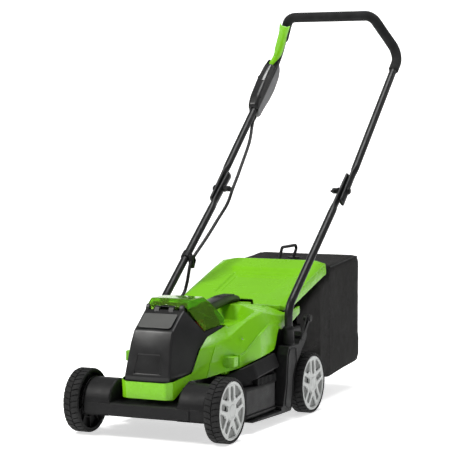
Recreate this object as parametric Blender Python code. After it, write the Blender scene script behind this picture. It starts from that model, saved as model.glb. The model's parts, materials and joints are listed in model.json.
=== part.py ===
"""Cordless rotary push lawn mower with a rear grass bag.

Metres, +Z up, front towards -Y. The shapes below are written in the mower's own frame, whose
origin lies on the ground under the front axle; the empty MOWER carries them to the world frame,
whose origin is on the ground under the middle of the whole machine.
"""

import math

import bmesh
import bpy
from mathutils import Matrix, Vector

# Driving dimensions
MIDDLE_X = 0.003            # world place of the mower's middle plane and of its front axle, which put
FRONT_AXLE_Y = -0.5231      # the origin under the middle of the whole machine
WHEELBASE = 0.470
WHEEL_RADIUS = 0.075
WHEEL_INNER_X = 0.1605      # inner face of each wheel
WHEEL_OUTER_X = 0.1995
AXLE_Z = WHEEL_RADIUS
CRANK = 0.036               # each axle turns in the deck this far behind its wheels
AXLE_RADIUS = 0.005
LINK_ARM = 0.028            # height of the link rod's pins over the axles' pivots
RUNNING_GAP = 0.0003
SHELL = 0.0024              # wall of the moulded covers
DECK_WALL = 0.003
DECK_FLOOR = 0.0395         # lower edge of the deck
DECK_TOP = 0.0935
BLADE_CENTRE_Y = 0.222
CHAMBER_RADIUS = 0.166
BLADE_Z = 0.052
TUBE_RADIUS = 0.010
TUBE_HOLE = 0.0107          # a twelve-sided hole that leaves room around the twelve-sided tubes
TUBE_FLAT = (0.006, 0.0125)  # half thickness and half width of the tubes where they are bolted
LOWER_TUBE_X = 0.1725
UPPER_TUBE_X = 0.186
POST_Y = 0.3745
FOLD_Y, FOLD_Z = 0.7175, 0.542
LOWER_SLOPE = math.radians(38.3)
FLAP_HINGE_Y, FLAP_HINGE_Z = 0.412, 0.258
LID_HINGE_Y, LID_HINGE_Z = 0.0565, 0.2965
LEVER_Y, LEVER_Z = 0.418, 0.196
BAG_SIDE_X = 0.155

FRONT_PIVOT = Vector((0, CRANK, AXLE_Z))
REAR_PIVOT = Vector((0, WHEELBASE + CRANK, AXLE_Z))
FOLD = Vector((0, FOLD_Y, FOLD_Z))

GREEN, BLACK, GREY, STEEL = "green", "black", "grey", "steel"
FINISHES = {
    GREEN: ((0.20, 0.62, 0.02), 0.30, 0.0),
    BLACK: ((0.022, 0.022, 0.024), 0.55, 0.0),
    GREY: ((0.12, 0.12, 0.125), 0.45, 0.0),
    STEEL: ((0.45, 0.45, 0.47), 0.35, 1.0),
    "silver": ((0.62, 0.63, 0.62), 0.35, 0.1),
    "rubber": ((0.018, 0.018, 0.018), 0.80, 0.0),
    "foam": ((0.02, 0.02, 0.02), 0.95, 0.0),
    "fabric": ((0.03, 0.03, 0.032), 0.90, 0.0),
    "powder_coat": ((0.02, 0.02, 0.022), 0.40, 0.2),
    "clear_green": ((0.15, 0.42, 0.03), 0.08, 0.0),
    "key_red": ((0.35, 0.05, 0.03), 0.40, 0.0),
    "board": ((0.02, 0.12, 0.05), 0.50, 0.0),
}


def clear_scene():
    for obj in list(bpy.data.objects):
        bpy.data.objects.remove(obj, do_unlink=True)


def material(finish):
    name = "plain_" + finish
    if name in bpy.data.materials:
        return bpy.data.materials[name]
    colour, roughness, metallic = FINISHES[finish]
    made = bpy.data.materials.new(name)
    made.use_nodes = True
    shader = made.node_tree.nodes["Principled BSDF"]
    shader.inputs["Base Color"].default_value = (*colour, 1.0)
    shader.inputs["Roughness"].default_value = roughness
    shader.inputs["Metallic"].default_value = metallic
    return made


def empty(name, place, parent=None):
    made = bpy.data.objects.new(name, None)
    made.empty_display_size = 0.02
    made.location = Vector(place) - (parent["at"] if parent else Vector())
    bpy.context.scene.collection.objects.link(made)
    if parent:
        made.parent = parent["object"]
    return {"object": made, "at": Vector(place)}


def add(name, mesh, finish, pivot, smooth=35):
    """Adds a mesh that was drawn in the mower's frame, with its origin on its pivot."""
    bmesh.ops.translate(mesh, verts=mesh.verts, vec=-pivot["at"])
    data = bpy.data.meshes.new(name)
    mesh.to_mesh(data)
    mesh.free()
    data.materials.append(material(finish))
    data.shade_smooth()
    data.set_sharp_from_angle(angle=math.radians(smooth))
    made = bpy.data.objects.new(name, data)
    bpy.context.scene.collection.objects.link(made)
    made.parent = pivot["object"]
    return made


def change(obj, mesh, operation, pivot):
    """Cuts a mesh from the object, or joins it on, with a helper that no render shows."""
    helper = add(f"{obj.name}_{operation.lower()}_{len(obj.modifiers)}", mesh, BLACK, pivot)
    helper.hide_render = True
    helper.display_type = "WIRE"
    boolean = obj.modifiers.new(operation.title(), "BOOLEAN")
    boolean.operation = operation
    boolean.solver = "EXACT"
    boolean.object = helper
    return obj


def cut(obj, mesh, pivot):
    return change(obj, mesh, "DIFFERENCE", pivot)


def join(obj, mesh, pivot):
    return change(obj, mesh, "UNION", pivot)


def face_out(mesh):
    bmesh.ops.recalc_face_normals(mesh, faces=mesh.faces)
    return mesh


def prism(outline, axis, low, high):
    """An outline in the plane across an axis, extruded along it. Outlines are (y, z), (x, z) or (x, y)."""
    mesh = bmesh.new()
    order = {"x": lambda a, b, c: (c, a, b), "y": lambda a, b, c: (a, c, b), "z": lambda a, b, c: (a, b, c)}
    place = order[axis]
    rings = [[mesh.verts.new(place(a, b, level)) for a, b in outline] for level in (low, high)]
    bridge(mesh, rings, closed=True)
    return face_out(mesh)


def bridge(mesh, rings, closed):
    """Joins rings of equal counts with quads, and closes their ends, or the last ring to the first."""
    pairs = list(zip(rings, rings[1:]))
    if not closed:
        pairs.append((rings[-1], rings[0]))
    for one, other in pairs:
        for i in range(len(one)):
            j = (i + 1) % len(one)
            mesh.faces.new((one[i], one[j], other[j], other[i]))
    if closed:
        mesh.faces.new(rings[0])
        mesh.faces.new(rings[-1])


def box(low, high, rounding=0.0, segments=2):
    (x0, y0, z0), (x1, y1, z1) = low, high
    mesh = prism([(x0, y0), (x1, y0), (x1, y1), (x0, y1)], "z", z0, z1)
    if rounding:
        edges = list(mesh.edges)
        bmesh.ops.bevel(mesh, geom=edges, offset=rounding, segments=segments, affect="EDGES", profile=0.5)
    return face_out(mesh)


def circle(radius, steps, centre=(0, 0), start=-math.pi / 2, turn=2 * math.pi, ends=False):
    angles = [start + turn * i / steps for i in range(steps + 1 if ends else steps)]
    return [(centre[0] + radius * math.cos(a), centre[1] + radius * math.sin(a)) for a in angles]


def rod(axis, centre, radius, low, high, steps=16):
    return prism(circle(radius, steps, centre), axis, low, high)


def turned_x(profile, centre, steps=32):
    """A closed profile of (x, radius) points turned about the X axis through centre (y, z)."""
    mesh = bmesh.new()
    rings = []
    for i in range(steps):
        angle = -math.pi / 2 + 2 * math.pi * i / steps
        y, z = math.cos(angle), math.sin(angle)
        rings.append([mesh.verts.new((x, centre[0] + r * y, centre[1] + r * z)) for x, r in profile])
    bridge(mesh, rings, closed=False)
    return face_out(mesh)


def rounded_path(corners, bends, steps=5):
    """The corners of a bent tube's centre line, each corner rounded by an arc of its bend radius."""
    points = [Vector(corners[0])]
    for before, corner, after, bend in zip(corners, corners[1:], corners[2:], bends):
        corner = Vector(corner)
        back, ahead = (Vector(before) - corner).normalized(), (Vector(after) - corner).normalized()
        half = back.angle(ahead) / 2
        if half > 1.56:
            points.append(corner)
            continue
        reach = bend / math.tan(half)
        centre = corner + (back + ahead).normalized() * (bend / math.sin(half))
        first, last = corner + back * reach - centre, corner + ahead * reach - centre
        turn = math.pi - 2 * half
        for i in range(steps + 1):
            part = i / steps
            mix = first * math.sin((1 - part) * turn) + last * math.sin(part * turn)
            points.append(centre + mix / math.sin(turn))
    return points + [Vector(corners[-1])]


def smooth_path(knots, parts=6):
    """A smooth curve through the knots (Catmull-Rom)."""
    knots = [Vector(k) for k in knots]
    ends = [2 * knots[0] - knots[1]] + knots + [2 * knots[-1] - knots[-2]]
    points = []
    for a, b, c, d in zip(ends, ends[1:], ends[2:], ends[3:]):
        for i in range(parts):
            t = i / parts
            bend = (2 * a - 5 * b + 4 * c - d) * t**2 + (3 * b - a - 3 * c + d) * t**3
            points.append(0.5 * (2 * b + (c - a) * t + bend))
    return points + [knots[-1]]


def sweep_rings(mesh, path, size, sides):
    """Rings of an ellipse, size(i) = (half width across X, half width across the path), along a path."""
    path = [Vector(p) for p in path]
    rings = []
    across = Vector((1, 0, 0))
    for i, point in enumerate(path):
        near = path[max(i - 1, 0):i + 2]
        ahead = sum(((b - a).normalized() for a, b in zip(near, near[1:])), Vector()).normalized()
        across = (across - ahead * across.dot(ahead)).normalized()
        up = ahead.cross(across)
        wide, high = size(i)
        rings.append([
            mesh.verts.new(point + across * wide * math.cos(a) + up * high * math.sin(a))
            for a in [2 * math.pi * (k + 0.5) / sides for k in range(sides)]
        ])
    return rings


def tube(path, radius, sides=12, size=None):
    mesh = bmesh.new()
    bridge(mesh, sweep_rings(mesh, path, size or (lambda i: (radius, radius)), sides), closed=True)
    return face_out(mesh)


def sleeve(path, outer, inner, sides=12):
    """A tube with a hole all along it."""
    mesh = bmesh.new()
    outside = sweep_rings(mesh, path, lambda i: (outer, outer), sides)
    inside = sweep_rings(mesh, path, lambda i: (inner, inner), sides)
    bridge(mesh, outside + inside[::-1], closed=False)
    return face_out(mesh)


def mirrored(points, faces):
    """The right half of a moulded skin and its mirror image, welded along x = 0."""
    mesh = bmesh.new()
    sides = []
    for side in (1, -1):
        sides.append({name: mesh.verts.new((side * x, y, z)) for name, (x, y, z) in points.items()})
    for face in faces:
        names = face.split()
        mesh.faces.new([sides[0][n] for n in names])
        mesh.faces.new([sides[1][n] for n in reversed(names)])
    bmesh.ops.remove_doubles(mesh, verts=mesh.verts, dist=1e-5)
    bmesh.ops.recalc_face_normals(mesh, faces=mesh.faces)
    return mesh


def moulded(name, points, faces, finish, pivot, inside, wall=SHELL):
    """A shell of even wall from its outer skin. inside is a point on the skin's inner side."""
    mesh = mirrored(points, faces)
    away = sum(f.normal.dot(f.calc_center_median() - Vector(inside)) * f.calc_area() for f in mesh.faces)
    if away < 0:
        bmesh.ops.reverse_faces(mesh, faces=mesh.faces)
    shell = add(name, mesh, finish, pivot)
    thick = shell.modifiers.new("Wall", "SOLIDIFY")
    thick.thickness = wall
    thick.offset = -1.0
    return shell


def both_sides(build):
    for word, side in (("right", 1), ("left", -1)):
        build(word, side)


# ---------------------------------------------------------------- chassis

ARCH_RADIUS = 0.057
ARCH_INNER_X, ARCH_OUTER_X = 0.086, 0.1565


def deck_outline(inset=0.0):
    """Half of the deck's plan, front to back, then its mirror image."""
    right = [
        (0.120, 0.046), (0.1565, 0.080), (0.1565, 0.108), (0.175, 0.123), (0.175, 0.290),
        (0.1565, 0.306), (0.1565, 0.396), (0.128, 0.430),
    ]
    shrink = [(x - inset, y + (inset if y < 0.2 else -inset)) for x, y in right]
    return shrink + [(-x, y) for x, y in reversed(shrink)]


def deck_housing(chassis):
    deck = add("deck_housing", prism(deck_outline(), "z", DECK_FLOOR, DECK_TOP), BLACK, chassis)
    join(deck, box((-0.147, -ARCH_RADIUS, 0.052), (0.147, -0.036, 0.082), 0.003, 1), chassis)
    join(deck, box((-0.110, -0.040, 0.070), (0.110, 0.060, 0.082)), chassis)
    for side in (1, -1):
        arch = circle(ARCH_RADIUS, 12, (0, AXLE_Z), math.pi, -math.pi, ends=True)
        arch = [(-ARCH_RADIUS, 0.052)] + arch + [(ARCH_RADIUS, 0.052)]
        low, high = sorted((side * ARCH_INNER_X, side * ARCH_OUTER_X))
        join(deck, prism(arch, "x", low, high), chassis)
    chute = [(0.330, 0.090), (0.330, 0.120), (0.400, 0.236), (0.420, 0.248), (0.488, 0.248), (0.488, 0.090)]
    join(deck, prism(chute, "x", -0.132, 0.132), chassis)
    for side in (1, -1):
        low, high = sorted((side * 0.1310, side * 0.1565))
        side_wall = [
            (0.380, 0.055), (0.380, 0.170), (0.400, 0.215), (0.4885, 0.215), (0.4885, 0.105), (0.522, 0.098),
            (0.522, 0.055),
        ]
        join(deck, prism(side_wall, "x", low, high), chassis)
        skirt = [
            (0.1530, 0.108), (0.1565, 0.108), (0.175, 0.123), (0.175, 0.290), (0.1565, 0.306),
            (0.1530, 0.306),
        ]
        join(deck, prism([(side * x, y) for x, y in skirt], "z", 0.060, 0.103), chassis)
        band_front = [
            (0.1200, 0.0935), (0.1230, 0.0935), (0.1230, 0.112), (0.1395, 0.112), (0.1260, 0.134),
            (0.1200, 0.134),
        ]
        band_shoulder = [
            (0.1540, 0.0935), (0.1570, 0.0935), (0.1570, 0.1195), (0.1735, 0.1195), (0.1600, 0.1543),
            (0.1540, 0.1543),
        ]
        band_rear = [
            (0.1540, 0.0935), (0.1570, 0.0935), (0.1570, 0.131), (0.1735, 0.131), (0.1600, 0.167),
            (0.1540, 0.167),
        ]
        mesh = bmesh.new()
        rings = [
            [mesh.verts.new((side * x, y, z)) for x, z in ring]
            for y, ring in ((0.120, band_front), (0.195, band_shoulder), (0.322, band_rear))
        ]
        bridge(mesh, rings, closed=True)
        join(deck, face_out(mesh), chassis)
    # The blade chamber, the space behind the bar and in the arches, the discharge chute, and the bearings.
    cut(deck, rod("z", (0, BLADE_CENTRE_Y), CHAMBER_RADIUS, 0.0, DECK_TOP - DECK_WALL, 48), chassis)
    inner = ARCH_RADIUS - DECK_WALL
    for side in (1, -1):
        arch = circle(inner, 12, (0, AXLE_Z), math.pi, -math.pi, ends=True)
        arch = [(-inner, 0.0)] + arch + [(inner, 0.0)]
        low, high = sorted((side * (ARCH_INNER_X + DECK_WALL), side * (ARCH_OUTER_X - DECK_WALL)))
        cut(deck, prism(arch, "x", low, high), chassis)
    inside = [
        (0.320, 0.0), (0.320, 0.095), (0.402, 0.233), (0.422, 0.245), (0.60, 0.245), (0.60, 0.101),
        (0.380, 0.101), (0.380, 0.0),
    ]
    cut(deck, prism(inside, "x", -0.129, 0.129), chassis)
    for side in (1, -1):
        low, high = sorted((side * 0.1325, side * 0.1535))
        cut(deck, box((low, 0.400, 0.0), (high, 0.60, 0.212)), chassis)
        low, high = sorted((side * 0.1615, side * 0.1720))
        cut(deck, box((low, 0.126, 0.0), (high, 0.286, DECK_TOP - DECK_WALL)), chassis)
    for pivot in (FRONT_PIVOT, REAR_PIVOT):
        cut(deck, rod("x", (pivot.y, pivot.z), AXLE_RADIUS + RUNNING_GAP, -0.20, 0.20), chassis)
    cut(deck, box((-0.1500, 0.030, DECK_TOP), (-0.1325, 0.41, 0.1130)), chassis)
    cut(deck, box((-0.1500, 0.040, 0.0840), (-0.1325, 0.064, 0.1130)), chassis)
    cut(deck, rod("z", (0, BLADE_CENTRE_Y), 0.012, 0.05, 0.2), chassis)
    return deck


SHROUD_POINTS = {
    # lower edge, front to back
    "b0": (0, -0.0415, 0.094), "b1": (0.050, -0.0405, 0.094), "b2": (0.0660, -0.030, 0.094),
    "b3": (0.084, 0.010, 0.1335),
    "b4": (0.101, 0.068, 0.1345), "b5": (0.115, 0.112, 0.140), "b6": (0.1375, 0.170, 0.1465),
    "b65": (0.145, 0.200, 0.153), "b75": (0.158, 0.245, 0.164), "b8": (0.158, 0.293, 0.169),
    "b9": (0.157, 0.322, 0.173),
    "n9": (0.1565, 0.333, 0.185), "n10": (0.1560, 0.352, 0.222), "n11": (0.1555, 0.372, 0.217),
    "n12": (0.1555, 0.417, 0.222), "n13": (0.1555, 0.484, 0.246),
    # upper edge of the chin and the edge that meets the motor cover
    "t0": (0, -0.0465, 0.133), "t1": (0.050, -0.0455, 0.133), "t2": (0.0665, -0.034, 0.136),
    "m3": (0.0790, 0.038, 0.148), "m4": (0.0815, 0.072, 0.199), "m5": (0.0865, 0.100, 0.225),
    "m6": (0.0985, 0.170, 0.2395),
    "m7": (0.093, 0.187, 0.245), "m8": (0, 0.191, 0.245),
    # upper crease
    "k4": (0.103, 0.085, 0.170), "k5": (0.109, 0.100, 0.209), "k6": (0.118, 0.145, 0.220),
    "k7": (0.130, 0.232, 0.254),
    "k8": (0.141, 0.290, 0.267), "k9": (0.149, 0.350, 0.254), "k10": (0.1545, 0.378, 0.251),
    # lower ridge
    "d5": (0.1150, 0.133, 0.169), "d6": (0.1340, 0.176, 0.171), "d65": (0.1430, 0.198, 0.185),
    "d75": (0.1560, 0.245, 0.219),
    "d8": (0.1560, 0.293, 0.237), "d9": (0.1560, 0.345, 0.236), "d10": (0.1555, 0.370, 0.235),
    "e12": (0.1555, 0.417, 0.254), "e13": (0.1555, 0.482, 0.264), "h12": (0.1500, 0.417, 0.254),
    "h13": (0.1500, 0.482, 0.263),
    # pocket under the carry handle
    "q7": (0.117, 0.232, 0.253), "p0": (0, 0.199, 0.235), "p1": (0.098, 0.203, 0.235),
    "p2": (0.107, 0.236, 0.235),
    "p3": (0.098, 0.288, 0.237), "p4": (0.045, 0.340, 0.237), "p5": (0, 0.348, 0.237),
    # flat top and its rear edge
    "f8": (0.114, 0.306, 0.267), "f9": (0.052, 0.366, 0.272), "f10": (0, 0.374, 0.273),
    "g0": (0.1490, 0.3925, 0.257), "g1": (0.112, 0.3925, 0.269), "g2": (0.062, 0.3925, 0.273),
    "g3": (0.046, 0.431, 0.2735),
    "g4": (0, 0.432, 0.274),
}
SHROUD_FACES = [
    "b0 b1 t1 t0", "b1 b2 t2 t1", "b2 b3 m3 t2", "b3 b4 k4 m3", "m3 k4 k5 m4", "m4 k5 k6 m5", "m5 k6 m6",
    "m6 k6 k7 q7", "b4 b5 d5 k4", "b5 b6 d6 d5", "k4 d5 d6 k5", "k5 d6 d65 k6", "k6 d65 d75 k7",
    "k7 d75 d8 k8",
    "k8 d8 d9 k9", "k9 d9 d10 k10", "b6 b65 d65 d6", "b65 b75 d75 d65", "b75 b8 d8 d75", "b8 b9 n9 d8",
    "n9 n10 d9 d8", "n10 n11 d10 d9", "n11 n12 e12 d10", "n12 n13 e13 e12", "d10 e12 k10", "k10 e12 h12 g0",
    "e12 e13 h13 h12", "m6 q7 p2 p1", "m7 m6 p1", "m8 m7 p1 p0", "p0 p1 p2 p3 p4 p5", "p2 q7 f8 p3",
    "p3 f8 f9 p4",
    "p4 f9 f10 p5", "q7 k7 k8 f8", "f8 k8 k9 g1", "k9 k10 g0 g1", "f9 f8 g1 g2", "f10 f9 g2 g3 g4",
]


def green_shroud(chassis):
    shroud = moulded("green_shroud", SHROUD_POINTS, SHROUD_FACES, GREEN, chassis, (0, 0.2, 0.12))
    for side in (1, -1):
        low, high = sorted((side * 0.104, side * 0.143))
        join(shroud, box((low, 0.125, 0.153), (high, 0.160, 0.178), 0.002, 1), chassis)
    return shroud


COVER_POINTS = {
    "a1": (0, 0.051, 0.2895), "A1": (0.0505, 0.053, 0.2895), "a2": (0, 0.017, 0.265),
    "A2": (0.050, 0.020, 0.264),
    "a3": (0, -0.007, 0.247), "A3": (0.0505, -0.003, 0.246), "a4": (0, -0.021, 0.217),
    "A4": (0.0525, -0.017, 0.217),
    "a5": (0, -0.040, 0.145), "A5": (0.058, -0.036, 0.145), "a6": (0, -0.040, 0.126),
    "A6": (0.0575, -0.0355, 0.126),
    "s5": (0.0765, 0.038, 0.149), "s4": (0.0790, 0.071, 0.199), "s3": (0.0840, 0.099, 0.2245),
    "s2": (0.0955, 0.168, 0.2385),
    "u5": (0.0715, 0.038, 0.128), "u4": (0.0735, 0.071, 0.186), "u3": (0.0775, 0.101, 0.212),
    "u2": (0.0880, 0.164, 0.226),
    "v2": (0.0800, 0.097, 0.2375), "v3": (0.0925, 0.172, 0.2455), "r2": (0, 0.183, 0.2400),
    "r3": (0, 0.178, 0.2455),
    "w2": (0, 0.176, 0.226),
}
COVER_FACES = [
    "a1 A1 A2 a2", "a2 A2 A3 a3", "a3 A3 A4 a4", "a4 A4 A5 a5", "a5 A5 A6 a6", "A5 s5 u5 A6", "A4 s4 s5 A5",
    "s5 s4 u4 u5",
    "A3 s3 s4 A4", "s4 s3 u3 u4", "A2 v2 s3 A3", "A1 v2 A2", "s3 s2 u2 u3", "v2 v3 s2 s3", "v3 r3 r2 s2",
    "s2 r2 w2 u2",
]
LID_POINTS = {
    "a0": (0, 0.0600, 0.3005), "A": (0.0510, 0.0615, 0.2975), "b0": (0, 0.083, 0.3135),
    "B": (0.052, 0.085, 0.3125),
    "c0": (0, 0.152, 0.3135), "C": (0.052, 0.150, 0.3125), "d0": (0, 0.168, 0.297),
    "D": (0.071, 0.157, 0.296),
    "e0": (0, 0.183, 0.262), "E": (0.0950, 0.178, 0.262), "f0": (0, 0.180, 0.249),
    "F": (0.0945, 0.174, 0.249),
    "G": (0.0815, 0.097, 0.2405),
}
LID_FACES = [
    "a0 A B b0", "b0 B C c0", "c0 C D d0", "d0 D E e0", "e0 E F f0", "A G B", "B G D C", "G F E D",
]


def motor_cover(chassis):
    cover = moulded("motor_cover", COVER_POINTS, COVER_FACES, BLACK, chassis, (0, 0.1, 0.12))
    for side in (1, -1):
        low, high = sorted((side * 0.040, side * 0.047))
        ear = [
            (0.0520, 0.2850), (0.0600, 0.2850), (0.0615, 0.2960), (0.0585, 0.3000), (0.0545, 0.3000),
            (0.0520, 0.2965),
        ]
        join(cover, prism(ear, "x", low, high), chassis)
    cut(cover, rod("x", (LID_HINGE_Y, LID_HINGE_Z), 0.0019, -0.05, 0.05, 12), chassis)
    slope = math.atan2(0.030, 0.040)
    plate = box((-0.040, -0.024, 0.0012), (0.040, 0.022, 0.0032), 0.0008, 1)
    seat = Matrix.Translation((0, 0.019, 0.2660)) @ Matrix.Rotation(slope, 4, "X")
    bmesh.ops.transform(plate, matrix=seat, verts=plate.verts)
    add("label_plate", plate, GREY, chassis)


def battery_bay(chassis):
    tray = add("battery_tray", box((-0.047, 0.083, 0.176), (0.047, 0.158, 0.284)), BLACK, chassis)
    cut(tray, box((-0.0445, 0.0855, 0.179), (0.0445, 0.1555, 0.35)), chassis)
    cut(tray, box((-0.030, 0.0870, 0.10), (0.030, 0.1000, 0.20)), chassis)
    contacts = add("contact_block", box((-0.028, 0.0885, 0.166), (0.028, 0.0985, 0.200)), GREY, chassis)
    for x in (-0.020, -0.007, 0.007, 0.020):
        cut(contacts, box((x - 0.0012, 0.0915, 0.182), (x + 0.0012, 0.12, 0.21)), chassis)
    add("controller_board", box((-0.036, 0.030, 0.1500), (0.036, 0.085, 0.1516)), "board", chassis)


def motor(chassis, rotor):
    centre = (0, BLADE_CENTRE_Y)
    can = add("motor_can", rod("z", centre, 0.044, DECK_TOP + 0.0004, 0.186, 32), STEEL, chassis)
    join(can, rod("z", centre, 0.030, 0.180, 0.197, 24), chassis)
    cut(can, rod("z", centre, 0.0044, 0.0, 0.190), chassis)
    shaft = add("motor_shaft", rod("z", centre, 0.0040, 0.0665, 0.1850), STEEL, rotor)
    join(shaft, rod("z", centre, 0.0060, 0.0665, 0.0700), rotor)
    adapter = add("blade_adapter", rod("z", centre, 0.034, 0.0566, 0.0600, 32), GREY, rotor)
    join(adapter, rod("z", centre, 0.013, 0.0580, 0.0660, 24), rotor)
    for i in range(6):
        fin = box((0.012, -0.0015, 0.0590), (0.032, 0.0015, 0.0650))
        turn = Matrix.Translation((0, BLADE_CENTRE_Y, 0)) @ Matrix.Rotation(i * math.pi / 3, 4, "Z")
        bmesh.ops.transform(fin, matrix=turn, verts=fin.verts)
        join(adapter, fin, rotor)
    cut(adapter, rod("z", centre, 0.0043, 0.0, 0.1), rotor)
    half = [
        (0.0, 0.024), (0.030, 0.024), (0.045, 0.0215), (0.150, 0.0215), (0.1585, 0.017), (0.1585, -0.016),
        (0.045, -0.0215), (0.030, -0.024),
    ]
    plan = half + [(-x, -y) for x, y in half]
    plan = [(x, y + BLADE_CENTRE_Y) for x, y in plan]
    blade = add("blade", prism(plan, "z", BLADE_Z, BLADE_Z + 0.0036), STEEL, rotor)
    for side in (1, -1):
        wing = [(0.006, 0.0), (0.0235, 0.0), (0.0235, 0.010), (0.0215, 0.010)]
        wing = [(BLADE_CENTRE_Y - side * a, BLADE_Z + 0.0018 + b) for a, b in wing]
        low, high = sorted((side * 0.118, side * 0.156))
        join(blade, prism(wing, "x", low, high), rotor)
    cut(blade, rod("z", centre, 0.0044, 0.0, 0.1), rotor)
    bolt = add("blade_bolt", prism(circle(0.0085, 6, centre), "z", 0.0440, 0.0515), STEEL, rotor)
    join(bolt, rod("z", centre, 0.0040, 0.0500, 0.0660), rotor)


def carry_handle(chassis):
    """A ribbed bar that bridges the pocket from the lid to the flat top."""
    side_view = [
        (0.240, 0.262), (0.244, 0.279), (0.300, 0.288), (0.350, 0.293), (0.412, 0.291), (0.426, 0.286),
        (0.4310, 0.2750),
        (0.3740, 0.2750), (0.330, 0.269), (0.290, 0.264), (0.266, 0.254), (0.254, 0.2380), (0.236, 0.2380),
    ]
    bar = prism(side_view, "x", -0.017, 0.017)
    add("carry_handle", bar, BLACK, chassis)


def side_rail(word, side, chassis):
    low, high = sorted((side * 0.1580, side * 0.1870))
    outline = [
        (0.135, 0.025), (0.300, 0.0215), (0.358, 0.0215), (0.366, 0.030), (0.376, 0.106), (0.394, 0.134),
        (0.414, 0.150),
        (0.426, 0.164), (0.452, 0.186), (0.458, 0.198), (0.452, 0.204), (0.430, 0.206), (0.404, 0.180),
        (0.3450, 0.180),
        (0.334, 0.160), (0.326, 0.088), (0.309, 0.0385), (0.135, 0.0385),
    ]
    rail = add(f"side_rail_{word}", prism(outline, "x", low, high), BLACK, chassis)
    cut(rail, rod("z", (side * LOWER_TUBE_X, POST_Y), TUBE_HOLE, 0.128, 0.25, 12), chassis)
    gap = sorted((side * 0.1700, side * 0.1900))
    cut(rail, box((gap[0], 0.100, 0.030), (gap[1], 0.300, 0.050)), chassis)
    cut(rail, rod("x", (LEVER_Y, LEVER_Z), 0.0036, *sorted((side * 0.15, side * 0.20))), chassis)
    for i in range(4):
        y = 0.140 + 0.007 * i
        cut(rail, box((low - 0.001, y, 0.0270), (high + 0.001, y + 0.003, 0.050)), chassis)
    collar = rod("z", (side * LOWER_TUBE_X, POST_Y), 0.0140, 0.1804, 0.225, 16)
    collar_object = add(f"socket_collar_{word}", collar, BLACK, chassis)
    cut(collar_object, rod("z", (side * LOWER_TUBE_X, POST_Y), TUBE_HOLE, 0.10, 0.30, 12), chassis)


def lower_tube(word, side, chassis):
    slope = Vector((0, math.cos(LOWER_SLOPE), math.sin(LOWER_SLOPE)))
    x = side * LOWER_TUBE_X
    corner = Vector((x, POST_Y, FOLD_Z - (FOLD_Y - POST_Y) * math.tan(LOWER_SLOPE)))
    fold = Vector((x, FOLD_Y, FOLD_Z))
    path = rounded_path([(x, POST_Y, 0.1285), corner, fold - 0.075 * slope], [0.055])
    path += [fold + reach * slope for reach in (-0.052, 0.048, 0.060)]
    round_count = len(path) - 3
    flat = [TUBE_FLAT, TUBE_FLAT, (0.004, 0.006)]
    sizes = [(TUBE_RADIUS, TUBE_RADIUS)] * round_count + flat
    bent = tube(path, TUBE_RADIUS, 12, lambda i: sizes[i])
    made = add(f"lower_tube_{word}", bent, "powder_coat", chassis)
    cut(made, rod("x", (FOLD_Y, FOLD_Z), 0.0035, *sorted((side * 0.14, side * 0.22))), chassis)


CABLE_LOWER = [
    (-0.140, 0.7168, 0.5410), (-0.1430, 0.690, 0.503), (-0.1515, 0.648, 0.462), (-0.1545, 0.597, 0.424),
    (-0.1545, 0.545, 0.393), (-0.1550, 0.510, 0.371), (-0.1550, 0.4925, 0.353), (-0.1555, 0.485, 0.332),
    (-0.1560, 0.476, 0.308), (-0.1560, 0.460, 0.285), (-0.1555, 0.428, 0.270), (-0.1555, 0.393, 0.267),
    (-0.1430, 0.360, 0.2695), (-0.112, 0.325, 0.2755), (-0.078, 0.285, 0.268), (-0.045, 0.245, 0.2545),
    (-0.020, 0.215, 0.247),
]
CABLE_RADIUS = 0.0043


def cables(chassis, handle):
    # Metres up the left upper tube from the fold, metres over it, and x.
    upper = [
        (0.330, -0.0190, -0.1860), (0.312, -0.0190, -0.1860), (0.290, -0.0190, -0.1845),
        (0.262, -0.0185, -0.1790),
        (0.232, -0.0170, -0.1710), (0.195, -0.0145, -0.1630), (0.150, -0.0100, -0.1560),
        (0.100, -0.0060, -0.1500),
        (0.050, -0.0030, -0.1445), (0.0007, 0.0, -0.1400),
    ]
    upper = [box_point(*knot) for knot in upper]
    add("power_cable_lower", tube(smooth_path(CABLE_LOWER, 2), CABLE_RADIUS, 8), "rubber", chassis, 60)
    add("power_cable_upper", tube(smooth_path(upper, 2), CABLE_RADIUS, 8), "rubber", handle, 60)
    slope = Vector((0, math.cos(LOWER_SLOPE), math.sin(LOWER_SLOPE)))
    middle = Vector((-LOWER_TUBE_X, 0.5075, FOLD_Z - (FOLD_Y - 0.5075) * math.tan(LOWER_SLOPE)))
    ring = sleeve([middle - 0.010 * slope, middle + 0.010 * slope], 0.0130, TUBE_RADIUS + RUNNING_GAP, 12)
    clip = add("cable_clip", ring, BLACK, chassis)
    hook = box((-0.1615, 0.4960, 0.3450), (-0.1490, 0.5080, 0.3790), 0.001, 1)
    join(clip, hook, chassis)
    cut(clip, tube(smooth_path(CABLE_LOWER, 2), CABLE_RADIUS + 0.0005, 8), chassis)


# ---------------------------------------------------------------- wheels and cutting height


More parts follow.
